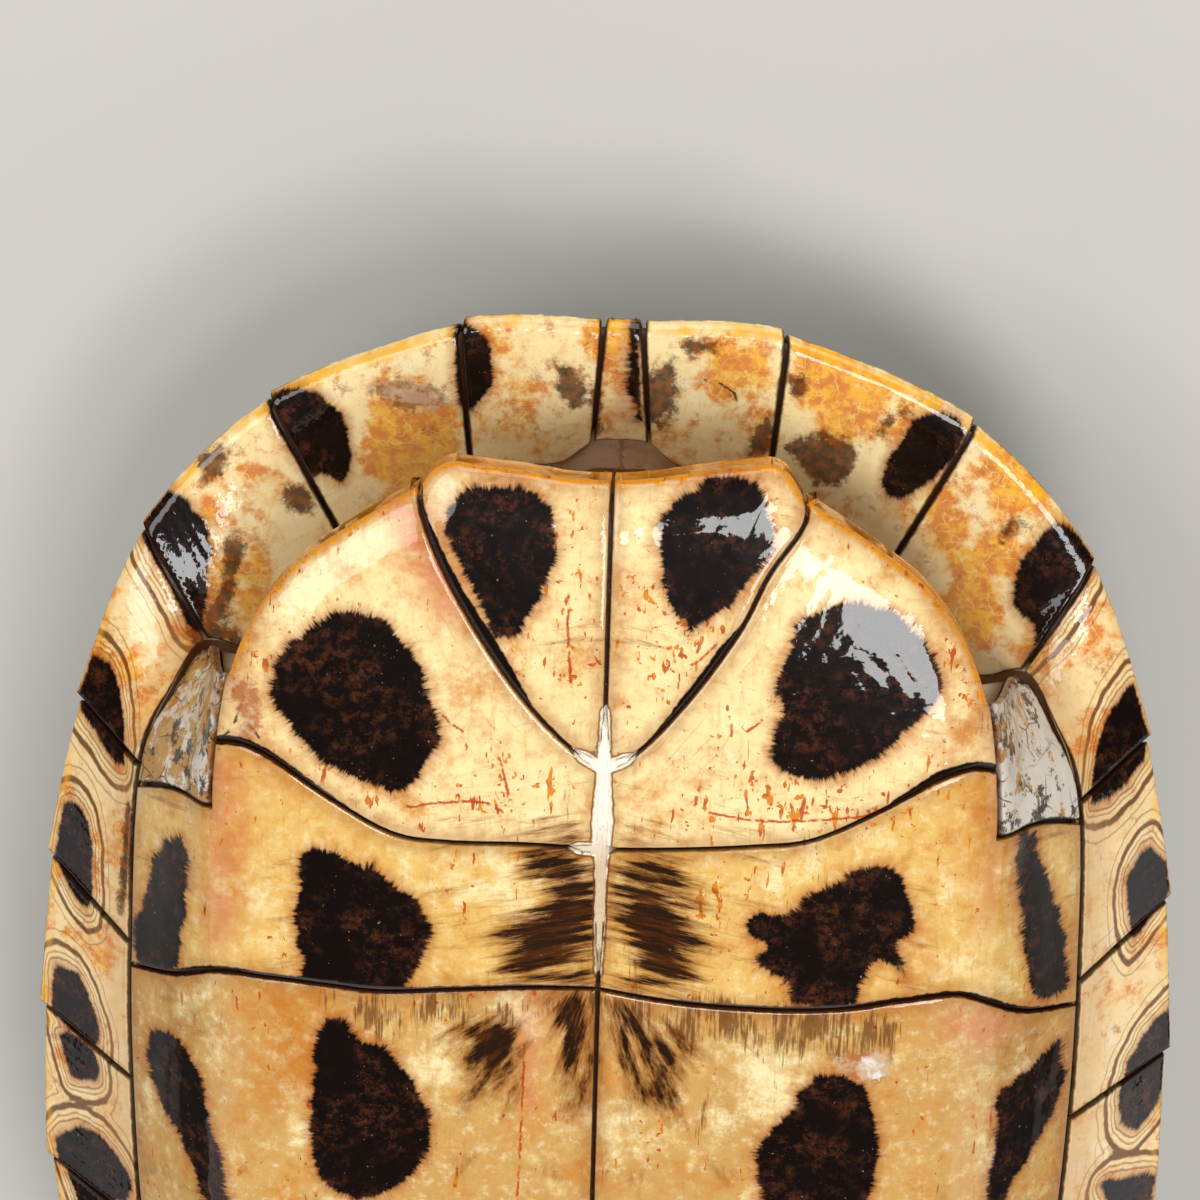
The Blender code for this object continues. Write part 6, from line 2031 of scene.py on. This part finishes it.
# %% Bone, and a piece's slot and tone
TONES = {"gular": 0.08, "humeral": 0.0, "pectoral": 0.5, "abdominal": 0.92, "femoral": 0.8, "anal": 0.6,
         "axillary": 0.62, "inguinal": 0.7}
CRACKLED = ("axillary", "inguinal")
SLOTS = {"marginal": "rim_scute", "nuchal": "rim_scute", "vertebral": "back_scute", "costal": "back_scute",
         "carapace": "bone", "plastron": "bone"}


def old_bone():
    f = Finish("old_bone")
    f.colour = f.mix(f.smooth(f.noise(9, 5.0, 0.65), 0.38, 0.66), (240, 226, 204), (200, 168, 124))
    f.coat((150, 106, 62), f.smooth(f.noise(3, 6.0, 0.75), 0.54, 0.68), 0.55)
    pores = f.node("ShaderNodeTexVoronoi", {"Vector": f.mm, "Scale": 1.3, "Randomness": 1.0})
    pore = f.share(f.smooth(pores, 0.22, 0.10), f.smooth(f.noise(4), 0.45, 0.6))
    f.coat((92, 58, 34), pore, 0.7)
    zigzag = f.spread(f.value("suture"), 1.4, f.noise(0.9, 1.0))
    suture = f.smooth(f.math("ABSOLUTE", zigzag), 0.35, 0.05)
    f.coat((104, 66, 38), suture, 0.75)
    f.coat((216, 160, 112), f.value("tan"), 0.6)
    f.coat((72, 42, 22), f.value("covered"))
    low_end = f.smooth(f.part(f.mm, "Y"), BARE_STREAKS_FROM, BARE_STREAKS_TO)
    f.coat(f.mix(low_end, (246, 238, 222), (214, 190, 156)), f.smooth(f.value("bare"), -0.1, 0.1))
    height = f.math("SUBTRACT", f.noise(1.6, 5.0, 0.6), f.math("ADD", pore, suture))
    return f.done(0.45, f.bump(height, 0.08), 0.35, 0.2)


FINISHES = {"belly_scute": belly_horn(), "rim_scute": rim_horn(), "back_scute": back_horn(), "bone": old_bone()}


def slot_of(name):
    return SLOTS.get(name.split("_")[0], "belly_scute")


for name, piece in PIECES.items():
    family, count = name.split("_")[0], len(piece.data.vertices)
    if family in TONES:
        keep(piece.data, "tone", np.full(count, TONES[family]))
        keep(piece.data, "crackle", np.full(count, float(family in CRACKLED)))
print("finishes:", {slot: len(m.node_tree.nodes) for slot, m in FINISHES.items()})

# %% [markdown]
# Now the relief is applied and every piece gets its finish. The modifiers are turned into plain meshes, since
# what is exported is the mesh alone, and each piece takes the place of the solid with its name.

# %% Relief and finish on every piece
for seed, (name, piece) in enumerate(PIECES.items()):
    slot = slot_of(name)
    if slot == "bone":
        piece.data.materials.append(FINISHES[slot])
    else:
        RELIEF.use_on(piece, {**RELIEF_SIZES[slot], "Seed": float(seed), "Material": FINISHES[slot]})
for name, piece in PIECES.items():
    if piece.modifiers:
        made_plain(piece)
for name, piece in PIECES.items():
    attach(piece, "root")
    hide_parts(name)
print("pieces:", len(PIECES), "; triangles:", triangles_made())

# %% [markdown]
# A plain pale floor and large soft lights, as in a product studio. Horn under lacquer mirrors them, so their
# place decides where the white shapes fall. A box nearly overhead makes the big white shape on the left humeral
# scute, and a small one beside it the shape on the left gular. A large box makes the broad sheen over the right
# shoulder, and four weak lights further out fill the shadows. Lights are named for the sides of the picture,
# which are the other way round from the animal's.

# %% Floor, lights and world
FLOOR_REACH = 3.0
LIGHTS = {
    "overhead_box": ((0.15, 0.00, 0.62), (0.16, 0.13), 0.98),
    "gular_box": ((0.06, 0.10, 0.62), (0.08, 0.14), 0.52),
    "left_box": ((-0.23, 0.17, 0.62), (0.27, 0.24), 1.25),
    "right_fill": ((0.90, -0.50, 0.60), (0.9, 0.7), 2.5),
    "left_fill": ((-0.90, -0.50, 0.60), (0.9, 0.7), 1.5),
    "head_fill": ((0.10, 0.75, 0.50), (0.6, 0.4), 3.0),
    "tail_fill": ((-0.15, -0.80, 0.60), (0.7, 0.5), 1.7),
}
SHELL_MIDDLE = Vector((0, 0.03, 0.05))
WORLD_COLOUR, WORLD_STRENGTH = (1.0, 0.96, 0.9, 1), 0.07


def add_floor():
    mesh = bpy.data.meshes.new("floor")
    r = FLOOR_REACH
    mesh.from_pydata([(-r, -r, 0), (r, -r, 0), (r, r, 0), (-r, r, 0)], [], [(0, 1, 2, 3)])
    mesh.materials.append(Finish("paper", (212, 209, 203)).done(0.7, coat=0.0))
    floor = add_object("floor", mesh)


def add_light(name, place, size, energy):
    data = bpy.data.lights.new(name, "AREA")
    data.shape, data.size, data.size_y, data.energy = "RECTANGLE", *size, energy
    light = add_object(name, data)
    light.location = place
    light.rotation_euler = (Vector(place) - SHELL_MIDDLE).to_track_quat("Z", "Y").to_euler()


add_floor()
for name, settings in LIGHTS.items():
    add_light(name, *settings)
world = bpy.data.worlds.new("studio")
world.use_nodes = True
background = world.node_tree.nodes["Background"].inputs
background["Color"].default_value, background["Strength"].default_value = WORLD_COLOUR, WORLD_STRENGTH
bpy.context.scene.world = world
bpy.context.scene.view_settings.view_transform = "Standard"
print("lights:", list(LIGHTS))

# %% [markdown]
